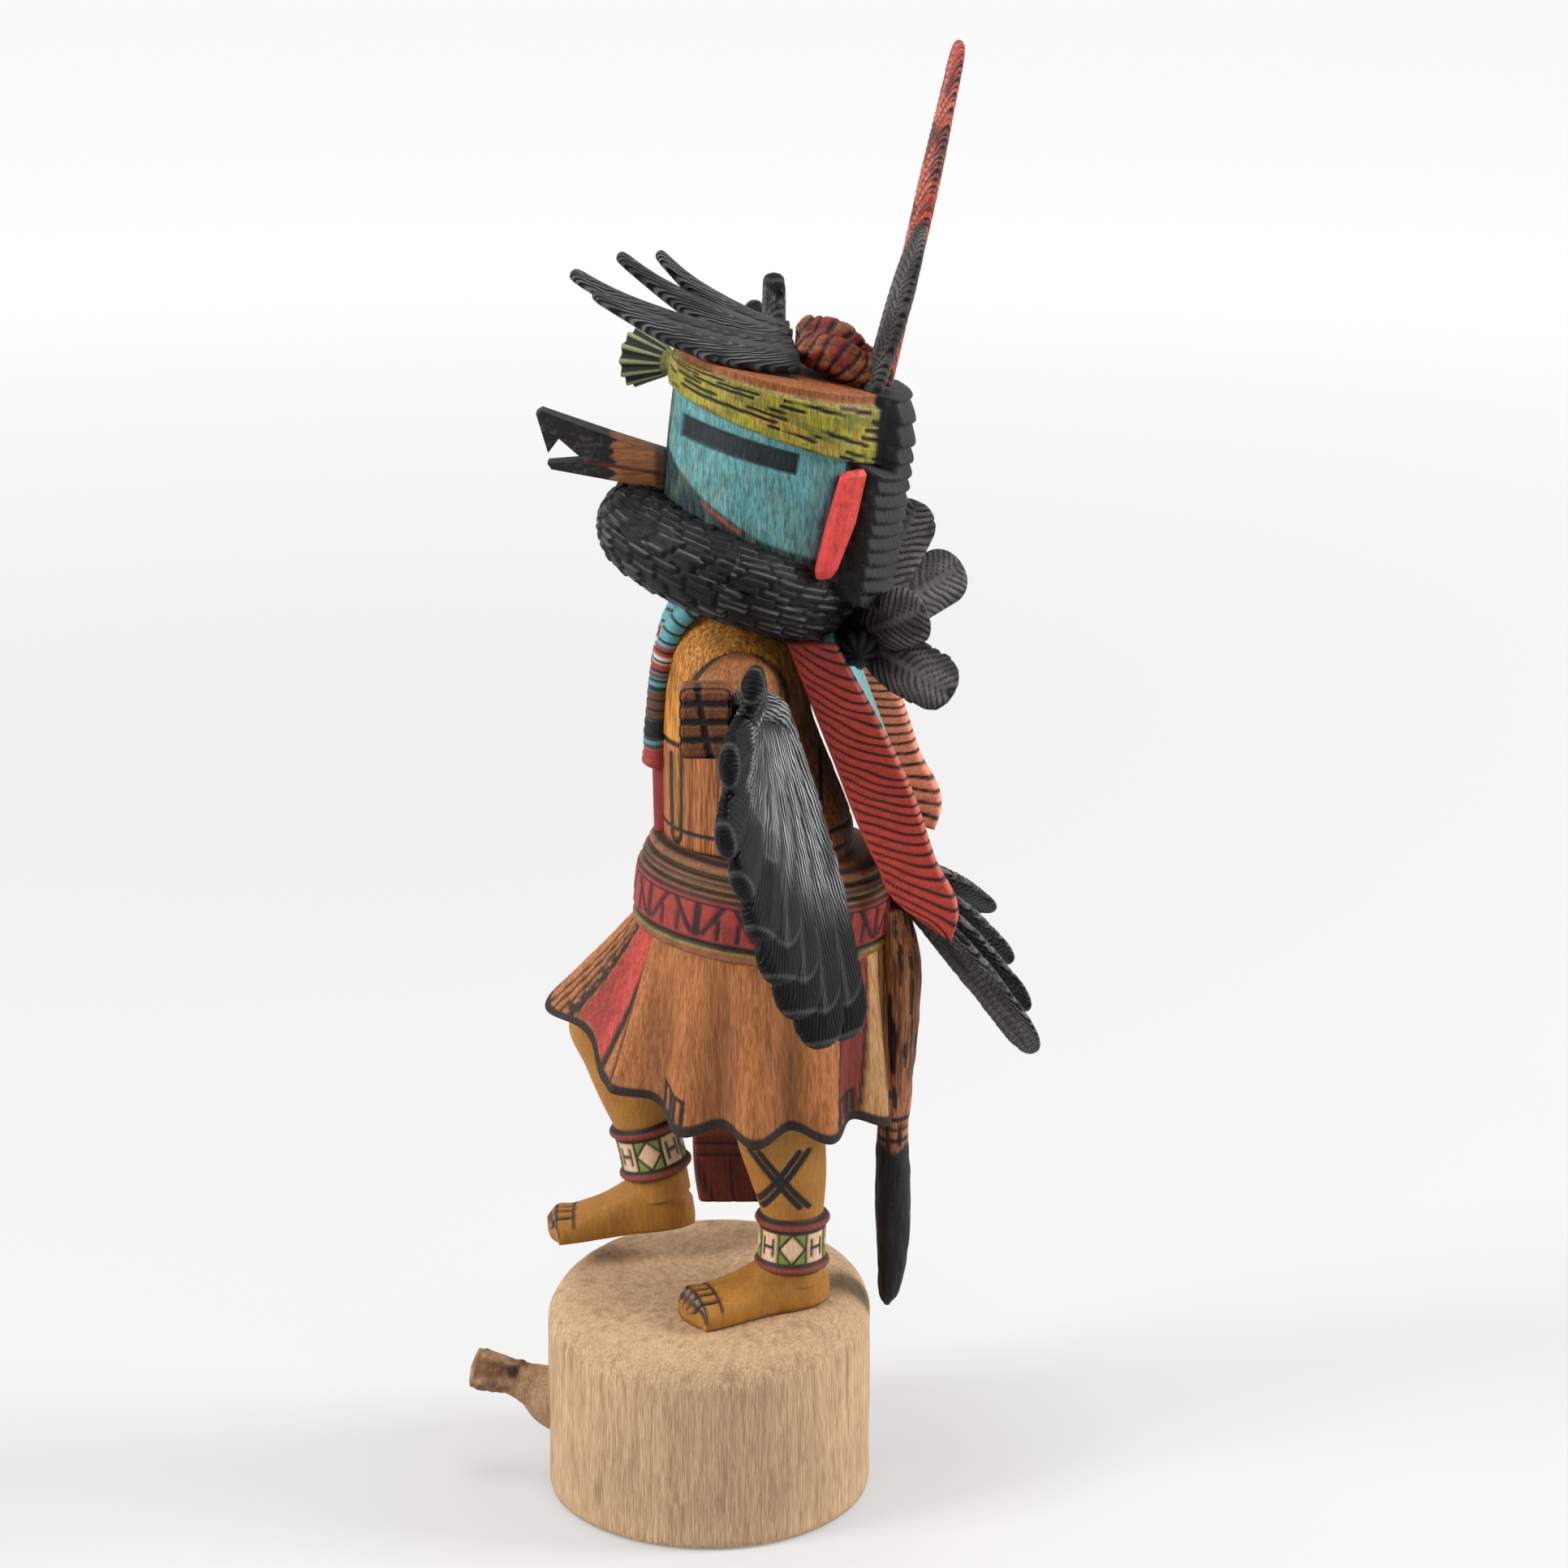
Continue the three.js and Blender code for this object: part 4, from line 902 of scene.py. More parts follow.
def sash(angle, share):
    rows = [(52.5, -28, 4.8, 7.6), (56, -28, 4.4, 7.8), (74, -28, 4, 8.2), (96, -28, 4, 8),
            (112, -26.8, 4, 7.6), (128, -25, 4.2, 7)]
    z = mix(rows[-1][0], rows[0][0], smooth_ends(share))
    x, y, wide = flows(rows, z)
    across, thick = plank(angle)
    cap = inside(share)
    x = x + 1.6 * thick * cap
    across = wide * across * cap
    y = y + across
    fringe = smooth(63, 62.4, z)
    threads = np.abs(np.sin(across * math.pi / 1.15)) ** 0.6
    zigzag = line(z, 75 + 2.2 * np.abs((across / 3 % 2) - 1) * 2, 0.7)
    lines = most(fringe * (1 - smooth(0.25, 0.55, threads)), lines_at(z, (66.4, 63.8), 0.6),
                 lines_at(z, (84, 82, 104, 102), 0.5), zigzag)
    coat = Coat(angle, (112, 48, 40))
    coat.over((140, 70, 46), within(z, 68, 82, 0.3))
    coat.over("black", np.clip(lines, 0, 1) * 0.9)
    x = x - thick * 0.25 * np.clip(lines, 0, 1) * cap
    places = spots(x, y, z)
    coat.shade(1.1 - 0.35 * noise(places, (1.5, 1.5, 8)))
    return places, coat.color


def fox_skin(angle, share):
    rows = [(40.5, 37.4, 0.4, 0.6), (42.6, 37.7, 1.7, 2.7), (48, 38.3, 2.7, 4), (56, 38.6, 3.4, 4.8),
            (64, 38.6, 3.7, 5), (75, 38.4, 3.4, 4.6), (80, 38.4, 3.2, 4.8), (88, 38.6, 3.6, 5.6),
            (104, 39.4, 4.2, 6.4), (118, 39.4, 4.4, 6.6), (130, 37.4, 3.6, 6.2)]
    z = mix(rows[-1][0], rows[0][0], smooth_ends(share))
    turn = np.radians(angle)
    cap = inside(share)
    middle, deep, wide = flows(rows, z)
    places = spots(1 + wide * np.cos(turn) * cap, middle + deep * np.sin(turn) * cap, z)
    brush = smooth(78, 76.5, z + 0.8 * np.cos(3 * turn))
    fur = noise(places, (0.7, 0.7, 4.2)) - 0.5
    places += outward(turn) * (cap * 0.45 * fur)[:, None]
    coat = Coat(angle, (190, 126, 80))
    coat.over("black", 0.95 * smooth(0.63, 0.67, noise(places, (1.1, 1.1, 10))))
    coat.over((52, 30, 24), lines_at(z, (84, 81.6, 79.2), 0.9))
    coat.over("black", brush)
    # Painted shade in the hollows of the fur relief, slightly lighter on its raised tufts
    coat.shade(1.1 - 0.5 * smooth(0.2, -0.3, fur))
    return places, coat.color


class OBJECT_OT_doll_body(bpy.types.Operator):
    """Make the torso with its necklace, sash and fox skin"""
    bl_idname = "object.doll_body"
    bl_label = "Torso and dress"

    def execute(self, context):
        wood = painted_wood("body_stain", (1, 1, 0.05), 0.85, 0.74, 0.6, 0.08)
        piece("torso", [shell("torso", 180, 164, torso, NEAR)], wood)
        beads = painted_wood("necklace_paint", (1, 1, 1), 0.25, 0.6, 0.2, 0.05)
        shells = [shell("strand", 24, 210, strand(side)) for side in (1, -1)]
        shells.append(shell("strip", 30, 40, necklace_strip))
        piece("necklace", shells, beads)
        cloth = painted_wood("sash_paint", (1, 1, 0.3), 0.4, 0.75, 0.3, 0.05)
        piece("sash", [shell("sash", 60, 140, sash)], cloth)
        piece("fox_skin", [shell("fox_skin", 60, 170, fox_skin)], wood)
        return {"FINISHED"}


# Mask, hair, headband and ruff


def head_ring(angle, radius, level, pitch=HEAD_PITCH):
    """Places on a ring about the head's axis, tipped with the mask."""
    turn = np.radians(angle)
    axis = np.array(MASK_FOOT) + (np.array(MASK_CROWN) - np.array(MASK_FOOT)) * level[:, None]
    drop = -radius * np.sin(turn) * np.tan(np.radians(pitch))
    return axis + spots(radius * np.cos(turn), radius * np.sin(turn), drop)


def head(angle, share):
    level = np.clip((share - 0.02) / MASK_SHARE, 0, 1)
    inward = np.clip((share - 0.02 - MASK_SHARE) / (0.98 - MASK_SHARE), 0, 1)
    pitch = mix(HEAD_PITCH, CROWN_PITCH, smooth(0.8, 1, level))
    front = np.abs(turn_from(angle, -90))
    behind = 180 - front
    radius = mix(*MASK_RADIUS, smooth(0, 0.6, level))
    band = within(level, *BAND_SPAN, 0.012) * smooth(90 + BAND_END + 0.6, 90 + BAND_END - 0.6, front)
    start = 90 - np.where(level > BAND_SPAN[0] - 0.006, BAND_END, HAIR_START)
    hair = smooth(start + 2, start - 4, behind)
    hairline = 90 - np.where(level > BAND_SPAN[0], BAND_END - 2, HAIR_START - 6)
    dark_hair = smooth(hairline + 0.6, hairline - 0.6, behind)
    tiers = level * HAIR_TIERS * 2.2
    tier = tiers % 1
    comb = np.abs(np.sin(behind * math.pi / 4.2 + 1.2 * np.floor(tiers)))
    tress = hair * smooth(1.3, 0.85, level) * (HAIR_THICKNESS * (1 - 0.17 * smooth(0, 1, tier)) - 0.5 * (1 - comb))
    radius = radius + 1.3 * band + tress
    # The eye slots run back from the beak to below the headband's sides
    slot_level = mix(*EYE_LEVELS, (front - 27) / 75.5)
    slot = within(front, *EYE_SPAN, 0.8) * within(level, slot_level - EYE_HALF, slot_level + EYE_HALF, 0.008)
    radius = radius - 0.9 * slot
    face = (1 - dark_hair) * (1 - smooth(0.705, 0.715, level))
    coat = Coat(angle, "turquoise")
    crown = smooth(0.94, 0.955, level) * (1 - dark_hair)
    coat.over((140, 84, 46), np.maximum(crown, smooth(0, 0.05, inward)))
    coat.over((150, 144, 42), band)
    rows = (level - BAND_SPAN[0]) * MASK_TALL / 1.15 + 0.5 * np.sin(turn_from(angle, -90) * 0.05)
    place = spots(angle * MASK_ARC + 31 * np.floor(rows), np.floor(rows), 0)
    body = smooth(0.5, 0.62, noise(place, (4.6, 1, 1)))
    dashes = band * body * smooth(0.12 + 0.24 * body, 0.02 + 0.2 * body, np.abs(rows % 1 - 0.5))
    coat.over((182, 138, 62), band * 0.6 * smooth(0.5, 0.75, noise(place + 9, (5, 4, 1))))
    coat.over((96, 104, 40), band * 0.7 * smooth(0.45, 0.75, noise(place, (7, 3, 1))))
    coat.over(("black", 0.6), dashes)
    radius = radius - 0.35 * dashes
    chin = np.interp(front, [7.9, 35.7, 54.1, 73.8, 87.8, 111.6, 134],
                     [0.418, 0.322, 0.259, 0.209, 0.175, 0.169, 0.16])
    wedge = face * smooth(chin + 0.012, chin - 0.012, level)
    rays = np.abs(np.sin(front * 0.5 + level * 26)) < 0.42
    coat.over("black", wedge * np.where(rays, 1, 0.86))
    rust = line(level, chin - 0.028, 0.022, 0.008) * within(front, 52, 76, 2) * face
    coat.over((158, 72, 40), rust)
    beak_ring = face * smooth(14, 11, front) * smooth(0.75, 0.65, level)
    coat.over("black", beak_ring * smooth(0.3, 0.42, level) * 0.9)
    coat.over("black", slot * 0.95)
    coat.over("black", dark_hair)
    coat.over((92, 92, 94), 0.3 * dark_hair * smooth(0.8, 1, comb) * smooth(0.5, 0.95, tier))
    turn = np.radians(angle)
    fibre = noise(spots(np.cos(turn) * 21, np.sin(turn) * 21, level * MASK_TALL), (0.6, 0.6, 6))
    unrolled = spots(angle * MASK_ARC, level * MASK_TALL, 0)
    broad = noise(unrolled, (5, 4, 1))
    coat.shade(1.24 - 0.22 * face * fibre - 0.26 * face * broad)
    coat.over((128, 158, 124), 0.32 * face * (1 - slot) * smooth(0.5, 0.8, broad * 0.5 + fibre * 0.5))
    flecks = noise(unrolled, (0.7, 1.6, 1))
    pale = face * (1 - wedge) * (1 - slot) * smooth(0.45, 0.85, flecks * 0.6 + fibre * 0.4)
    coat.over((176, 190, 180), 0.22 * pale)
    coat.over((60, 96, 96), 0.2 * face * (1 - slot) * smooth(0.42, 0.2, flecks) * smooth(0.1, 0.6, fibre))
    radius = radius - 0.16 * face * (fibre - 0.5)
    lip = np.where(inward > 0, np.maximum(0, 1 - inward), 1)
    radius = (radius - 0.8 * smooth(0, 0.08, inward)) * lip * smooth(-0.001, 0.019, share)
    return head_ring(angle, radius, level, pitch), coat.color


def ruff(angle, share):
    """A thick ring of shingled locks: angle runs round the neck and share round the tube."""
    tube = share * 360
    rows, count = 33, 25
    wander = noise(spots(angle * 0.4, tube * 0.14, 0), 3.5)
    row = share * rows + 0.55 * (wander - 0.5)
    row_index = np.floor(row)
    column = angle / 360 * count + 0.5 * (row_index % 2) + 0.42 * np.sin(row_index * 2.4)
    part_row, part_column = row - row_index, column % 1
    outer = np.cos(np.radians(tube))
    cut = np.minimum(smooth(0, 0.12, part_column), smooth(1, 0.88, part_column))
    cut = cut * smooth(0, 0.18, part_row) * smooth(1, 0.9, part_row)
    jitter = noise(spots(np.floor(column), row_index, 0), 1)
    lift = carving("shingle_depth") * (cut * (0.35 + 0.65 * part_column) + 0.35 * (jitter - 0.5) - 0.6)
    radius = 1 + lift / RUFF["tube"]
    turn = np.radians(angle)
    reach = RUFF["radius"] + RUFF["tube"] * radius * outer
    z = RUFF["tall"] * radius * np.sin(np.radians(tube))
    y, z = rotated(reach * np.sin(turn), z, HEAD_PITCH + 1)
    places = np.array(RUFF["centre"]) + spots(reach * np.cos(turn), y, z)
    # Black locks with painted highlights of grey along one edge of each shingle, and painted shade in the gaps
    # between shingles
    coat = Coat(angle, "black")
    coat.over((100, 101, 104), 0.6 * cut * smooth(0.75, 1, part_row) * smooth(0.1, 0.7, jitter))
    coat.shade(0.25 + 0.75 * cut)
    coat.over((128, 129, 132), 0.6 * within(part_row, 0.7, 0.9, 0.1) * cut * smooth(0.3, 0.9, jitter))
    return places, coat.color


class OBJECT_OT_doll_head(bpy.types.Operator):
    """Make the mask with its hair and headband, and the ruff"""
    bl_idname = "object.doll_head"
    bl_label = "Mask and ruff"

    def execute(self, context):
        wood = painted_wood("mask_paint", (1, 1, 0.16), 0.62, 0.7, 0.35, 0.1)
        piece("mask", [shell("mask", 286, 148, head, NEAR)], wood)
        black = painted_wood("ruff_black", (0.5, 0.5, 0.5), 0.4, 0.65, 0.5, 0.06, None, 0.18)
        piece("ruff", [shell("ruff", 256, 136, ruff, NEAR)], black)
        return {"FINISHED"}


# Beak, ears and squash blossom


def carved_copy(name, node, fineness, color):
    """A finer copy of a frame node's mesh with its paint, with no edge longer than fineness in
    millimetres."""
    bm = bmesh.new()
    bm.from_mesh(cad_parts[node].data)
    bmesh.ops.remove_doubles(bm, verts=bm.verts, dist=1e-6)
    bmesh.ops.dissolve_limit(bm, angle_limit=math.radians(1), verts=bm.verts, edges=bm.edges)
    bmesh.ops.bevel(bm, geom=bm.edges[:], offset=0.0004, offset_type="OFFSET", segments=2, profile=0.5,
                    affect="EDGES", clamp_overlap=True, material=-1)
    bmesh.ops.triangulate(bm, faces=bm.faces)
    for _ in range(12):
        long_edges = [edge for edge in bm.edges if edge.calc_length() > fineness * MM]
        if not long_edges:
            break
        bmesh.ops.subdivide_edges(bm, edges=long_edges, cuts=1)
        bmesh.ops.triangulate(bm, faces=[face for face in bm.faces if len(face.verts) > 3])
    mesh = bpy.data.meshes.new(name)
    bm.to_mesh(mesh)
    bm.free()
    keep_paint(mesh, color(mesh_places(mesh) / MM))
    return mesh


def beak_paint(places):
    y, z = places[:, 1], places[:, 2]
    coat = Coat(y, (158, 104, 60))
    jagged = 1.6 * np.abs((z * 0.9) % 2 - 1) + 1.1 * noise(places, 1.2)
    coat.over("black", smooth(-19.5, -20.1, y - jagged))
    mouth = stroke(y, z, (-6, 219.6), (-23.8, 222.3), 0.7)
    grain = line(noise(places, (0.9, 7, 0.45)), 0.52, 0.05, 0.02) * smooth(-19, -20.5, y)
    coat.over((86, 76, 68), 0.8 * grain)
    coat.over((96, 34, 28), mouth)
    coat.over("black", smooth(-10.4, -9.4, y) * 0.8)
    return coat.shade(1.05 - 0.25 * noise(places, (0.7, 5, 0.7))).color


def ear_paint(places):
    coat = Coat(places, (214, 66, 60))
    coat.shade(1.1 - 0.25 * noise(places, 3))
    return coat.over((120, 30, 32), 0.35 * smooth(0.72, 0.82, noise(places, 1.3))).color


def blossom(angle, share):
    ahead = vec(math.sin(BLOSSOM_TURN), -math.cos(BLOSSOM_TURN), 0)
    direction = unit(ahead + vec(0, 0, 0.04))
    root = vec(*BLOSSOM_AXIS) + BLOSSOM_OUT * ahead
    across = unit(np.cross([0, 0, 1], direction))
    up = np.cross(direction, across)
    rows = [(0, 0, 0), (0.01, 2, 0), (0.2, 2.1, 3), (0.28, 2.8, 4.2), (0.5, 4.3, 8), (0.7, 5.8, 11.6),
            (0.74, 5.6, 11.7), (0.8, 4.6, 11), (0.9, 2, 8), (1, 0, 6)]
    marks, radii, lengths = np.array(rows).T
    radius, length = np.interp(share, marks, radii), np.interp(share, marks, lengths)
    turn = np.radians(angle)
    ridge = np.cos(12 * turn)
    outside = within(share, 0.26, 0.74, 0.03)
    radius = radius * (1 + 0.09 * ridge * outside)
    spoke = np.cos(turn)[:, None] * across + np.sin(turn)[:, None] * up
    places = root + direction * length[:, None] + spoke * radius[:, None]
    coat = Coat(angle, (150, 156, 112))
    coat.over("black", 0.97 * smooth(0.65, 0.25, ridge) * outside)
    coat.over((120, 116, 62), smooth(0.27, 0.2, share))
    coat.over("black", smooth(0.73, 0.78, share) * 0.85)
    coat.over((190, 160, 70), smooth(0.9, 0.95, share))
    return places, coat.color


class OBJECT_OT_doll_face(bpy.types.Operator):
    """Make the beak, the ears and the squash blossom"""
    bl_idname = "object.doll_face"
    bl_label = "Beak, ears and blossom"

    def execute(self, context):
        wood = painted_wood("beak_stain", (1, 0.1, 1), 0.6, 0.7, 0.5, 0.05)
        piece("carved_beak", [carved_copy("beak", "beak", 0.8, beak_paint)], wood, ["beak"], "beak_wood")
        red = painted_wood("ear_paint", (1, 1, 0.3), 0.35, 0.6, 0.2, 0.12)
        for side in ("left", "right"):
            mesh = carved_copy("ear", side + "_ear", 0.9, ear_paint)
            piece("carved_" + side + "_ear", [mesh], red, [side + "_ear"], "ear_red")
        green = painted_wood("blossom_paint", (1, 1, 1), 0.3, 0.7, 0.2, 0.1)
        mesh = shell("blossom", 108, 60, blossom)
        piece("carved_blossom", [mesh], green, ["squash_blossom"], "blossom_green")
        return {"FINISHED"}


# Feathers


def feather(root, tip, bow, side, width, thick, base=0.5, taper=1, tones=None, slant=1.2, pitch=1, split=0.2,
            extra=None, carve=1, sheen=None, blunt=0.55):
    """Gives the shape of one carved feather with its shaft and barbs, and its paint. slant is
    how steeply the barbs run back to the edge, and pitch their distance against the usual.
    blunt is the thickness left at its end, as a share. Each vertex also keeps its place on the
    vane for the finer barbs of the material, and how strong their painted sheen is there."""
    root, tip, bow, side = (np.array(v, float) for v in (root, tip, bow, side))
    middle = (root + tip) / 2 + bow
    length = np.linalg.norm(tip - root)
    rounded = min(0.2, 0.55 * width * taper / length)
    seed = float(np.abs(root + tip * 0.7).sum() % 17)

    def shape(angle, share):
        dark, light = tones or ("black", (112, 112, 112))
        t = smooth_ends(share)[:, None]
        curve = (1 - t) ** 2 * root + 2 * t * (1 - t) * middle + t * t * tip
        along = unit(2 * (1 - t) * (middle - root) + 2 * t * (tip - middle))
        across = unit(side - along * (along @ side)[:, None])
        face = np.cross(along, across)
        t = t[:, 0]
        spread = mix(base, 1, smooth(0, 0.55, t)) * mix(1, taper, smooth(0.35, 0.9, t))
        end = np.sqrt(np.clip(1 - (np.maximum(0, t - 1 + rounded) / (1.02 * rounded)) ** 2, 0, 1))
        turn = np.radians(angle)
        place = np.cos(turn)
        half = width / 2 * spread * end
        gaps = noise(spots(t * length, np.sign(place) * 3 + seed, 0), (1.5, 1, 1))
        notch = smooth(0.55, 1, np.abs(place)) * smooth(0.62, 0.78, gaps)
        half = half * (1 - split * 0.3 * notch)
        wide = half * place
        cap = inside(share)
        depth = thick / 2 * mix(1, blunt, smooth(0.55, 1, t)) * np.clip(end * 1.6, 0.2, 1)
        rise = depth * np.sign(np.sin(turn)) * np.abs(np.sin(turn)) ** 0.75
        run = spots(t * length, wide * 1.4, seed)
        phase = (t * length - slant * np.abs(wide)) / (carving("barb_pitch") * pitch) + 0.9 * noise(run, 4)
        barb = smooth(0.1, 0.55, np.abs(phase % 1 - 0.5) * 2)
        fine = 0.5 + 0.5 * np.sin(phase * 8 * math.pi)
        shaft = bell(wide, 0.5) * smooth(1.0, 0.85, t)
        blade = (1 - shaft) * smooth(0.02, 0.1, t)
        lift = 0.3 * shaft - carve * blade * (carving("barb_depth") * (1 - barb) + 0.05 * fine)
        rise = rise + np.sign(np.sin(turn)) * lift * smooth(0, 0.35, np.abs(np.sin(turn)))
        places = curve + across * (wide * cap)[:, None] + face * (rise * cap)[:, None]
        # Painted highlights on the barb crests, painted shade in the grooves between them, and a lighter shaft
        coat = Coat(angle, dark)
        bright = blade * barb * smooth(0.25, 0.75, noise(run, (7, 2.5, 1)))
        coat.over(light, 0.55 * carve * bright * (0.5 + 0.5 * fine))
        coat.over(("black", 0.4), 0.8 * carve * blade * (1 - barb))
        coat.over(light, 0.3 * shaft)
        if extra:
            extra(coat, t * length, wide)
        glow = sheen(t, wide / (width / 2)) if sheen else np.ones(len(t))
        return places, coat.color, spots(t * length + seed * 9, np.abs(wide), glow * blade)

    return shape


def crown_feathers():
    tips = [(12, -21.4, 257.6), (6, -26, 260.6), (-4, -17.2, 262.6), (-11, -9.6, 262)]
    for i, tip in enumerate(tips):
        yield feather((9 - 5.4 * i, 18.4 - 0.8 * i, 243.8 + 0.9 * i), tip, (3 if i < 2 else -3, 0, -5.8 - 0.4 * i),
                      (1, 0.1, -0.42), 9.6, 3.6, 0.9 - 0.1 * i, 0.5, carve=0)


def plume_strand(side):
    drop = 2.4 * abs(side)
    stations = [(side * 5.3, 18, 248.8 - drop, 0), (side * 5.4, 18.6, 248.6 - drop, 2),
                (side * 5.8, 20.8, 247.6 - drop, 3.4), (side * 6, 25.6, 246.4 - drop, 4.1),
                (side * 5, 30, 242.6 - 0.6 * drop, 3.8), (side * 3.6, 33, 239.6, 2.6), (side * 3.4, 33.6, 239, 0)]

    def shape(angle, share):
        centre, radius, spoke = swept(angle, share, stations)
        groove = 0.5 + 0.5 * np.cos(np.radians(angle) * 7 + share * 9)
        twist = 0.5 + 0.5 * np.cos(share * 46 + np.radians(angle) * 2 + side)
        radius = radius * (1 - 0.09 * groove - 0.07 * (twist < 0.25))
        coat = Coat(angle, (132, 42, 32))
        coat.over((150, 88, 48), smooth(0.42, 0.7, noise(centre + spoke * 3, (4, 3, 2.2))))
        coat.over("black", 0.92 * smooth(0.3, 0.16, twist))
        coat.over("black", 0.6 * smooth(0.9, 1, groove))
        return centre + spoke * radius[:, None], coat.color

    return shape


def scorch(coat, along, wide):
    """Black chevrons and blots along the tall red feather."""
    chevron = smooth(0.3, 0.12, np.abs((along - 1.5 * np.abs(wide)) / 3.1 % 1 - 0.5))
    coat.over("black", 0.9 * chevron * smooth(0.3, 0.9, np.abs(wide)))
    coat.over("black", 0.85 * smooth(0.62, 0.72, noise(spots(along, wide, 0), (5, 2.4, 1))))


GRAY_TONES = ((64, 62, 59), (124, 122, 118))


def tall_feathers():
    red = ((190, 64, 48), (238, 150, 124))
    yield "tall_black_feather", feather((6, 32.6, 235.5), (6, 42.6, 270.4), (0, 0.4, 0), (1, 0.18, 0),
                                        12, 4.2, 0.6, tones=GRAY_TONES, slant=1.5, pitch=1.2, carve=1.25)
    yield "tall_red_feather", feather((2.5, 35.2, 238), (2.5, 49.8, 305), (0, 0.4, 0), (1, 0.18, 0),
                                      10, 3.6, 0.6, tones=red, slant=1.5, extra=scorch)


def nape_feathers():
    root = vec(0, 29, 186.5)
    tips = [(-18, 43.2, 209.8), (-20, 52.4, 196), (20, 43.4, 196.4), (22, 49.2, 179.6)]
    for tip in tips:
        run = np.array(tip) - root
        side = (0.25 * np.linalg.norm(run), run[2], -run[1])
        yield feather(root, tip, (math.copysign(3, tip[0]), 1, 0), side, 12, 3.2, 0.6, tones=GRAY_TONES,
                      slant=0.9, pitch=1.45, carve=1.25)


def tail_feathers():
    tips = [(14, 67, 101.6), (4, 65.6, 107), (-8, 62.2, 113.4), (-20, 58, 121)]
    for i, tip in enumerate(tips):
        yield feather((4 - 2.6 * i, 37.5, 135.5 + i * 0.8), tip, (0, 1.5, 2), (1, 0.55, 0.5), 12.5, 3.6, 0.6,
                      slant=1.4)


def quills(angle, share):
    stations = [(-5, 31, 186.6, 0), (-4, 31, 186.6, 3.4), (0, 31.4, 186.4, 4), (4, 31, 186, 3.2),
                (11, 30.4, 184.6, 2), (11.8, 30.3, 184.4, 0)]
    centre, radius, spoke = swept(angle, share, stations)
    ridges = 0.5 + 0.5 * np.cos(np.radians(angle) * 9 + share * 6)
    places = centre + spoke * (radius * (1 - 0.2 * ridges))[:, None]
    # Darker in the grooves, painted shade; the vane's third value puts a painted sheen on the raised strips between
    # them
    vane = spots(share * 16, ridges * 3, 1 - ridges)
    coat = Coat(angle, "black").over(GRAY_TONES[0], np.full(len(angle), 0.6))
    return places, coat.over(("black", 0.4), smooth(0.5, 0.9, ridges)).color, vane


LEFT_WRIST = vec(55.6, 3.1, 184)
RIGHT_WRIST = vec(-48, 6.8, 214)
WING_RISE = {1: math.radians(8), -1: math.radians(58)}
WING_FAN = [(26.5, 9.2, 6.7, 0, 0.3), (35.8, -5, 2.4, 0, 0.3), (33.2, -19.6, 1.6, 0, 0.35),
            (26.1, -29.4, 4.6, 1, 0.5), (17.4, -40, 8, 3, 0.65), (7.9, -50.2, 11.6, 6, 0.8),
            (-1.2, -58.6, 15.4, 10, 0.9), (-10.4, -66.2, 20, 14, 1), (-20.6, -66.4, 25, 18, 1)]
RIGHT_LEADING_TIP = (34, 16.4, 9.6, 0, 0.3)
WING_EDGE = [(6.8, 3.4, 5, 0), (6, 3.2, 5, 1.6), (5, 3, 5.2, 2.4), (-2, 2, 6.4, 3.2), (-10, 0, 8.2, 3.8),
             (-19, -3, 10.4, 3.6), (-21, -3.6, 11, 2.2), (-22, -4, 11.2, 0)]


def wing_place(side, reach, high, back):
    """A place out past the wrist, above it and behind it."""
    rise = WING_RISE[side]
    out = vec(side * math.cos(rise), 0, math.sin(rise))
    up = vec(-side * math.sin(rise), 0, math.cos(rise))
    wrist = LEFT_WRIST if side > 0 else RIGHT_WRIST
    return wrist + out * reach + up * high + vec(0, back * (1 if side > 0 else 0.7), 0)


def wing_feathers(side):
    fan = WING_FAN if side > 0 else [RIGHT_LEADING_TIP, *WING_FAN[1:]]
    for i, (reach, high, back, elbow, turned) in enumerate(fan):
        root = wing_place(side, -elbow, -1, 5.4 + 0.25 * elbow)
        tip = wing_place(side, reach, high, back)
        edge = np.cross(tip - root, vec(turned * side, 1, 0))
        # How far the painted shade reaches back from each feather's end
        shaded_end_reach = 2.5 if i == 0 else 15 if i < 5 else 7
        yield feather(root, tip, (0, 2, 0), edge, 9.5 if i == 0 else 13, 4.6, 0.7, slant=0.8, pitch=1.2,
                      extra=blunt_end(shaded_end_reach), carve=1 if i < 3 else 0, sheen=wing_sheen, blunt=0.9)


def wing_sheen(share, across):
    """Where the barbs of a wing feather catch the light: off its tip and towards its inner edge."""
    return smooth(0.72, 0.45, share) * np.clip(0.85 - 0.5 * across, 0, 1)


def blunt_end(reach):
    """Paints the end of a wing feather, reach long, near black as painted shade, with a painted highlight along the
    rim of that shade and another near the tip, and darker side edges.
    """
    def paint_shaded_end(coat, along, wide):
        start = along.max() - reach - 0.12 * wide ** 2
        coat.over(("black", 0.3), smooth(start - 0.5, start + 0.5, along))
        coat.over((110, 110, 108), 0.3 * line(along, start - 0.6, 0.7, 0.3))
        coat.over((104, 104, 102), 0.45 * line(along, along.max() - 1.5, 0.7, 0.4))
        coat.over(("black", 0.4), 0.8 * smooth(5, 6, np.abs(wide)))

    return paint_shaded_end


def wing_edge(side):
    stations = [(*wing_place(side, *row[:3]), row[3]) for row in WING_EDGE]

    def shape(angle, share):
        centre, radius, spoke = swept(angle, share, stations)
        cuts = noise(spots(angle * 0.07, share * 28, 0), (1, 4, 1))
        coat = Coat(angle, "black")
        coat.over((122, 122, 122), 0.4 * smooth(0.5, 0.8, cuts))
        places = centre + spoke * (radius - 0.1 * cuts * (radius > 1))[:, None]
        # The third value of the vane gives its barb lines a painted sheen
        return places, coat.color, spots(share * 28, angle * 0.06, 0.7)

    return shape


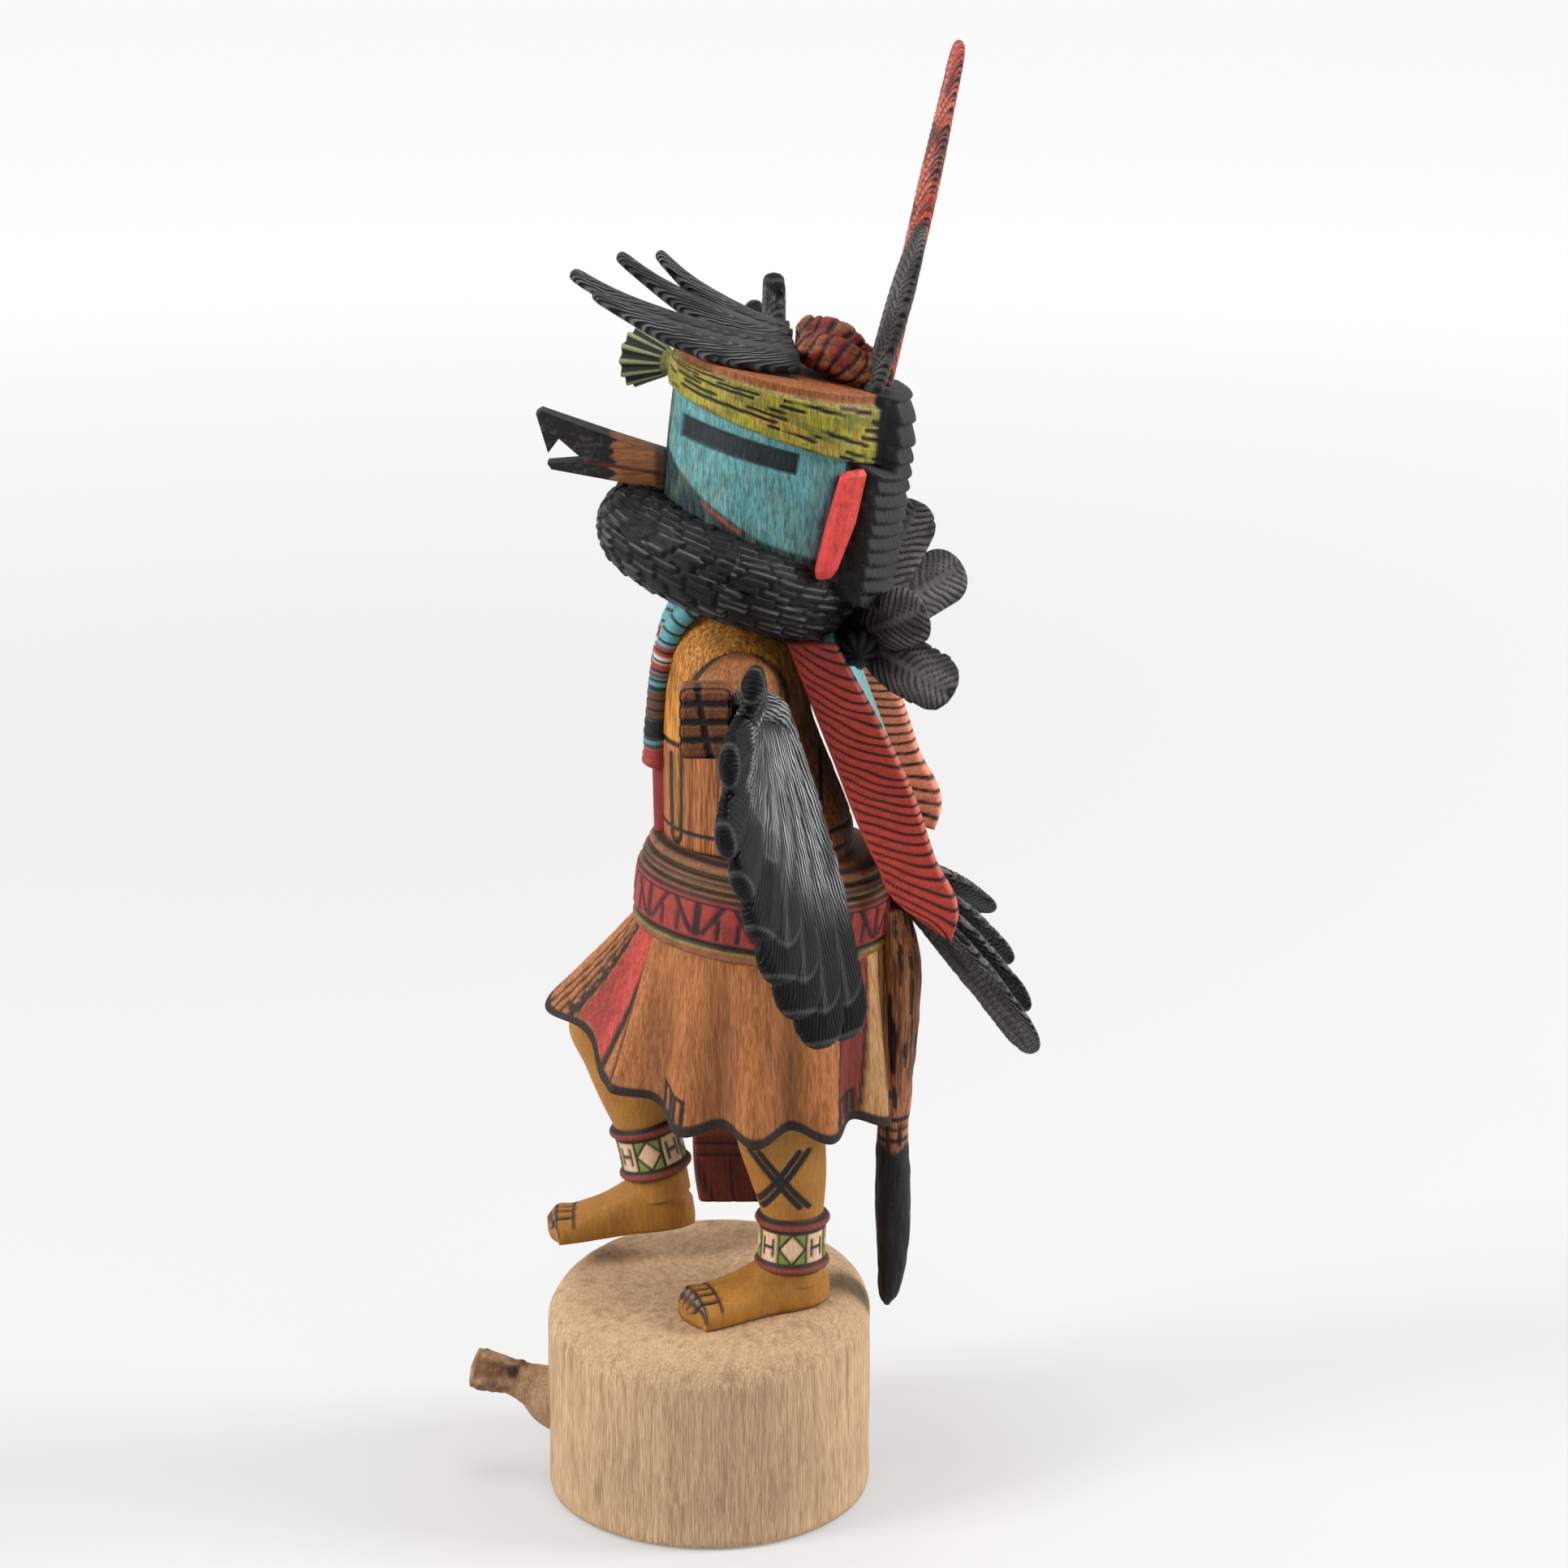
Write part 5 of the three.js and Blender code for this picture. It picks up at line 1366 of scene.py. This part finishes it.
class OBJECT_OT_doll_feathers(bpy.types.Operator):
    """Make the feathers of the crown, the nape and the tail, and the tall pair"""
    bl_idname = "object.doll_feathers"
    bl_label = "Feathers"

    def execute(self, context):
        gray = paint(150, 150, 148)
        black = painted_wood("feather_black", (1, 1, 1), 0.35, 0.6, 0.5, 0.03, None, 0.18)
        steep = painted_wood("feather_steep", (1, 1, 1), 0.3, 0.6, 0.6, 0.02, (4.2, 3.2, 0.42, gray), 0.16)
        wing = painted_wood("wing_black", (1, 1, 1), 0.3, 0.55, 0.6, 0.02, (7, 6, 0.8, paint(190, 192, 192)), 0.12)
        red = painted_wood("feather_red", (1, 1, 1), 0.3, 0.62, 0.4, 0.05, (1.5, 1.5, 0.4, paint(210, 120, 100)))
        wood = painted_wood("plume_red", (1, 1, 1), 0.4, 0.62, 0.3, 0.05)
        shells = [shell("crown", 34, 110, shape) for shape in crown_feathers()]
        piece("crown_feathers", shells, steep, ["crown_feather_fan"], "black_feather")
        shells = [shell("plume", 60, 64, plume_strand(side)) for side in (-1, 0, 1)]
        piece("folded_plume", shells, wood, ["red_plume"], "red_feather")
        for name, shape in tall_feathers():
            material, slot = (red, "red_feather") if "red" in name else (black, "black_feather")
            piece("carved_" + name, [shell(name, 38, 220, shape)], material, [name], slot)
        shells = [shell("nape", 54, 110, shape) for shape in nape_feathers()]
        shells.append(shell("quills", 36, 24, quills))
        piece("nape_feathers", shells, black, ["nape_feather_fan"], "black_feather")
        shells = [shell("tail", 32, 110, shape) for shape in tail_feathers()]
        piece("tail_feathers", shells, steep, ["tail_feather_fan"], "black_feather")
        for side, name in ((1, "left"), (-1, "right")):
            columns, rows = (36, 136) if side > 0 else (26, 84)
            shells = [shell("wing", columns, rows, shape) for shape in wing_feathers(side)]
            shells.append(shell("edge", 36, 50, wing_edge(side)))
            piece(name + "_wing_feathers", shells, wing, [name + "_wing"], "black_feather")
        return {"FINISHED"}


# Back tablet and its fringes


def roll(places):
    places[:, 2] += TABLET_ROLL * (TABLET["width"] / 2 - places[:, 0])
    return places


def tablet(angle, share):
    across, thick = plank(angle)
    cap = inside(share)
    ends = smooth_ends(share)
    x = (TABLET["width"] / 2 - GAP) * across * cap
    y = TABLET["thick"] / 2 * (thick * cap - 1)
    z = -TABLET["height"] * ends
    coat = Coat(angle, (112, 172, 178))
    border = np.maximum(line(np.abs(x), 13.4, 0.9), line(z, -5, 0.9) + line(z, -47, 0.9))
    coat.over((208, 180, 60), np.clip(border, 0, 1))
    steps = np.abs((x / 4.5) % 2 - 1) * 7
    coat.over((170, 56, 46), smooth(-33, -34, z + steps) * (np.abs(x) < 12) * (z > -46))
    coat.over("black", line(z + steps, -33, 0.7) * (np.abs(x) < 12))
    y, z = rotated(y, z, -TABLET["lean"])
    places = roll(spots(x, TABLET["back"] + y, TABLET["top"] + z))
    return places, coat.shade(1.04 - 0.2 * noise(places, 3)).color


def fringe(side):
    """Gives the shape of a fringe: slanting grooves across a long narrow board."""
    inner = [(0, 16.2), (0.37, 25), (0.78, 34.2), (0.94, 39.4), (1, 46)]
    inner_height = [(0, 189.2), (0.37, 166.2), (0.78, 143.4), (0.94, 134.6), (1, 130)]
    outer = [(0, 26.4), (0.22, 34), (0.5, 41), (0.8, 46), (0.97, 50.6), (1, 49.6)]
    outer_height = [(0, 188.4), (0.22, 174.6), (0.5, 159.8), (0.8, 145), (0.97, 131), (1, 127.8)]
    tuck = 0 if side > 0 else 3

    def shape(angle, share):
        ends = smooth_ends(share)
        across, out = plank(angle)
        cap = inside(share)
        across = 0.5 + 0.5 * across * cap
        y = mix(flow(inner, ends) - tuck, flow(outer, ends), across)
        z = mix(flow(inner_height, ends), flow(outer_height, ends), across)
        threads = 25 if side > 0 else 27
        sag = 2.7 * (1 - (1 - across) ** 1.7) if side > 0 else 0.9 * across
        phase = ends * threads - sag + 0.5 * noise(spots(y, z, 0), (7, 3, 1))
        gap = np.abs((phase % 1) - 0.5) * 2
        groove = smooth(0.58, 0.84, gap) * smooth(0.02, 0.08, across)
        depth = FRINGE_THICKNESS / 2 - 0.3 * groove
        x = side * (TABLET["width"] + FRINGE_THICKNESS) / 2 + out * depth * cap
        # The right fringe's red is far lighter than the left's, a painted light on it
        coat = Coat(angle, (186, 62, 48) if side > 0 else (255, 156, 122))
        coat.over((206, 118, 96), 0.6 * smooth(0.92, 0.98, across) * (side > 0))
        coat.over((22, 14, 15), 0.95 * groove)
        places = roll(spots(x, y, z))
        if side < 0:
            places += vec(0, *RIGHT_FRINGE_SHIFT)
        coat.shade(1.08 - 0.3 * noise(places, (1.5, 2.5, 1)))
        # Painted shadow: the left fringe darker towards its top
        if side > 0:
            coat.shade(mix(0.6, 1, smooth(0, 0.3, ends)))
        return places, coat.color

    return shape


class OBJECT_OT_doll_tablet(bpy.types.Operator):
    """Make the back tablet and its red fringes"""
    bl_idname = "object.doll_tablet"
    bl_label = "Back tablet"

    def execute(self, context):
        board = painted_wood("tablet_paint", (1, 0.3, 0.15), 0.35, 0.7, 0.3, 0.1)
        piece("painted_tablet", [shell("tablet", 90, 90, tablet)], board, ["back_tablet"], "tablet_turquoise")
        red = painted_wood("fringe_paint", (1, 0.6, 0.6), 0.3, 0.66, 0.25, 0.08)
        for side, name in ((1, "left"), (-1, "right")):
            mesh = shell("fringe", 48, 250 if side > 0 else 200, fringe(side))
            piece(name + "_fringe", [mesh], red, [name + "_tablet_fringe"], "fringe_red")
        return {"FINISHED"}


# Arms

ARMS = {
    1: {"shoulder": (13, 7.4, 178), "elbow": (34, 5.2, 181), "wrist": LEFT_WRIST},
    -1: {"shoulder": (-13, 8.4, 179), "elbow": (-33, 7.4, 184), "wrist": RIGHT_WRIST},
}


def upper_arm(side):
    shoulder, elbow, wrist = (np.array(ARMS[side][name], float) for name in ("shoulder", "elbow", "wrist"))
    stations = [(*shoulder, 8), (*mix(shoulder, elbow, 0.6), 7.5), (*elbow, 6.4), (*mix(elbow, wrist, 0.6), 4.7),
                (*wrist, 4.6)]

    def shape(angle, share):
        ends = smooth_ends(share)
        centre, radius, spoke = swept(angle, ends, stations)
        coat = Coat(angle, (160, 104, 60))
        rings = line(ends, 0.8, 0.02, 0.006) + line(ends, 0.86, 0.02, 0.006)
        coat.over("black", rings)
        places = centre + spoke * ((radius - 0.2 * rings) * inside(share))[:, None]
        return places, coat.shade(1.06 - 0.3 * noise(places, (9, 1, 1))).color

    return shape


def fist(side):
    """Gives the shape of a squared fist with carved finger lines."""
    elbow, wrist = (np.array(ARMS[side][name], float) for name in ("elbow", "wrist"))
    ahead = unit(wrist - elbow)
    level = unit(vec(ahead[0], 0, ahead[2]))
    up = vec(-level[2] * side, 0, abs(level[0]))
    centre = wrist + ahead * 5 + vec(0, -1.6, 0)

    def shape(angle, share):
        y, z = block(np.radians(angle), FIST[1] / 2, FIST[2] / 2)
        reach = np.clip((share - 0.3) / 0.4, 0, 1)
        inset = np.clip(np.minimum(share, 1 - share) / 0.3, 0, 1)
        y, z = y * inset, z * inset
        x = mix(-FIST[0] / 2, FIST[0] / 2, reach) - 0.8 * smooth(0.85, 1, inset) * (reach == 1) * (share > 0.7)
        x = x - 0.5 * smooth(0.9, 1, inset) * (share > 0.6) * smooth(0.9, 1, reach)
        lines = most(lines_at(z, (3.6, 0.2, -3.2), 1.3), stroke(y, z, (-1.5, 6.6), (1.0, -6.7), 1.3))
        lines = lines * smooth(0.25, 0.4, reach)
        x = x - 0.5 * lines * (share > 0.7)
        y = y - 0.35 * lines * np.sign(y) * (share <= 0.7) * (np.abs(y) > 4)
        coat = Coat(angle, (128, 76, 42))
        coat.over("black", 0.95 * np.clip(lines, 0, 1))
        places = centre + level * x[:, None] + up * z[:, None] + vec(0, 1, 0) * y[:, None]
        coat.shade(1.1 - 0.35 * noise(places, (1.4, 1.4, 3)))
        return places, coat.color

    return shape


class OBJECT_OT_doll_arms(bpy.types.Operator):
    """Make both arms with their fists"""
    bl_idname = "object.doll_arms"
    bl_label = "Arms"

    def execute(self, context):
        wood = painted_wood("arm_stain", (0.15, 1, 1), 0.6, 0.72, 0.4, 0.05)
        for side, name in ((1, "left"), (-1, "right")):
            shells = [shell("arm", 56, 70, upper_arm(side)), shell("fist", 84, 70, fist(side))]
            piece("carved_" + name + "_arm", shells, wood, [name + "_arm"], "arm_brown")
        return {"FINISHED"}


# Stage: a floor, a dark card, soft lights and the camera


def flat_board(name, size, finish):
    """A flat square of the stage."""
    mesh = sheet(name, 2, 2, size)
    mesh.materials.append(finish.material)
    made = bpy.data.objects.new(name, mesh)
    bpy.context.scene.collection.objects.link(made)
    return made


def aimed(name, data, place, ahead):
    """Sets a light or the camera on the stage, looking ahead."""
    made = bpy.data.objects.new(name, data)
    made.location = place
    made.rotation_mode = "QUATERNION"
    made.rotation_quaternion = ahead.to_track_quat("-Z", "Y")
    bpy.context.scene.collection.objects.link(made)
    return made


class OBJECT_OT_doll_stage(bpy.types.Operator):
    """Make the floor, the lights and the camera"""
    bl_idname = "object.doll_stage"
    bl_label = "Stage"

    def execute(self, context):
        scene = context.scene
        # The floor glows, a painted light, brighter further from the middle
        pale = Finish("pale_floor")
        place = pale.node("ShaderNodeTexCoord", {}, {}, "Object")
        far = pale.ramp(pale.node("ShaderNodeVectorMath", {"operation": "LENGTH"}, {0: place}, "Value"), 0.2, 1.8)
        glow = pale.mix_colors("MIX", far, (0.3, 0.3, 0.3, 1), (0.64, 0.64, 0.64, 1))
        pale.feed(pale.shader.inputs["Emission Color"], glow)
        pale.shader.inputs["Emission Strength"].default_value = 1
        pale.shader.inputs["Base Color"].default_value = (0.35, 0.35, 0.35, 1)
        pale.shader.inputs["Roughness"].default_value = 0.9
        floor = flat_board("floor", 6, pale)
        floor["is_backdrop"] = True
        dark = Finish("dark_card")
        dark.shader.inputs["Base Color"].default_value = (0.04, 0.04, 0.04, 1)
        card = flat_board("card", 1.1, dark)
        card.location = (1.7, 0, 0.75)
        card.rotation_euler = (0, math.radians(-90), 0)
        card.visible_camera = False
        card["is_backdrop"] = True
        world = bpy.data.worlds.new("studio")
        world.use_nodes = True
        world.node_tree.nodes["Background"].inputs["Color"].default_value = (1, 1, 1, 1)
        world.node_tree.nodes["Background"].inputs["Strength"].default_value = 0.8
        scene.world = world
        scene.view_settings.view_transform = "Standard"
        for name, place, size, power in LAMPS:
            lamp = bpy.data.lights.new(name, "AREA")
            lamp.size, lamp.energy = size, power
            aimed(name, lamp, place, LAMP_AIM - Vector(place))
        lens = bpy.data.cameras.new("camera")
        lens.lens, lens.sensor_width = CAMERA_LENS, 36
        lens.clip_start, lens.clip_end = 0.05, 30
        ahead = Vector((-math.cos(CAMERA_PITCH), 0, -math.sin(CAMERA_PITCH)))
        scene.camera = aimed("camera", lens, CAMERA_PLACE, ahead)
        return {"FINISHED"}


STEPS = (
    OBJECT_OT_doll_stage, OBJECT_OT_doll_base, OBJECT_OT_doll_legs, OBJECT_OT_doll_kilt,
    OBJECT_OT_doll_body, OBJECT_OT_doll_head, OBJECT_OT_doll_face, OBJECT_OT_doll_feathers,
    OBJECT_OT_doll_tablet, OBJECT_OT_doll_arms,
)


class VIEW3D_PT_doll(bpy.types.Panel):
    bl_idname = "VIEW3D_PT_doll"
    bl_label = "Kachina Doll"
    bl_space_type = "VIEW_3D"
    bl_region_type = "UI"
    bl_category = "Kachina Doll"

    def draw(self, context):
        for step in STEPS:
            self.layout.operator(step.bl_idname)
        for group in (context.scene.doll_paints, context.scene.doll_carving):
            for name in group.__annotations__:
                self.layout.prop(group, name)


CLASSES = (DollPaints, DollCarving, *STEPS, VIEW3D_PT_doll)


def register():
    for cls in CLASSES:
        bpy.utils.register_class(cls)
    bpy.types.Scene.doll_paints = PointerProperty(type=DollPaints)
    bpy.types.Scene.doll_carving = PointerProperty(type=DollCarving)


def unregister():
    del bpy.types.Scene.doll_carving
    del bpy.types.Scene.doll_paints
    for cls in reversed(CLASSES):
        bpy.utils.unregister_class(cls)


def main():
    register()
    for step in STEPS:
        group, name = step.bl_idname.split(".")
        getattr(getattr(bpy.ops, group), name)()
    boxes = {"cad": CAD_BOX, "visual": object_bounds()}
    {name: [list(corner) for corner in box] for name, box in boxes.items()}


if __name__ == "__main__":
    main()
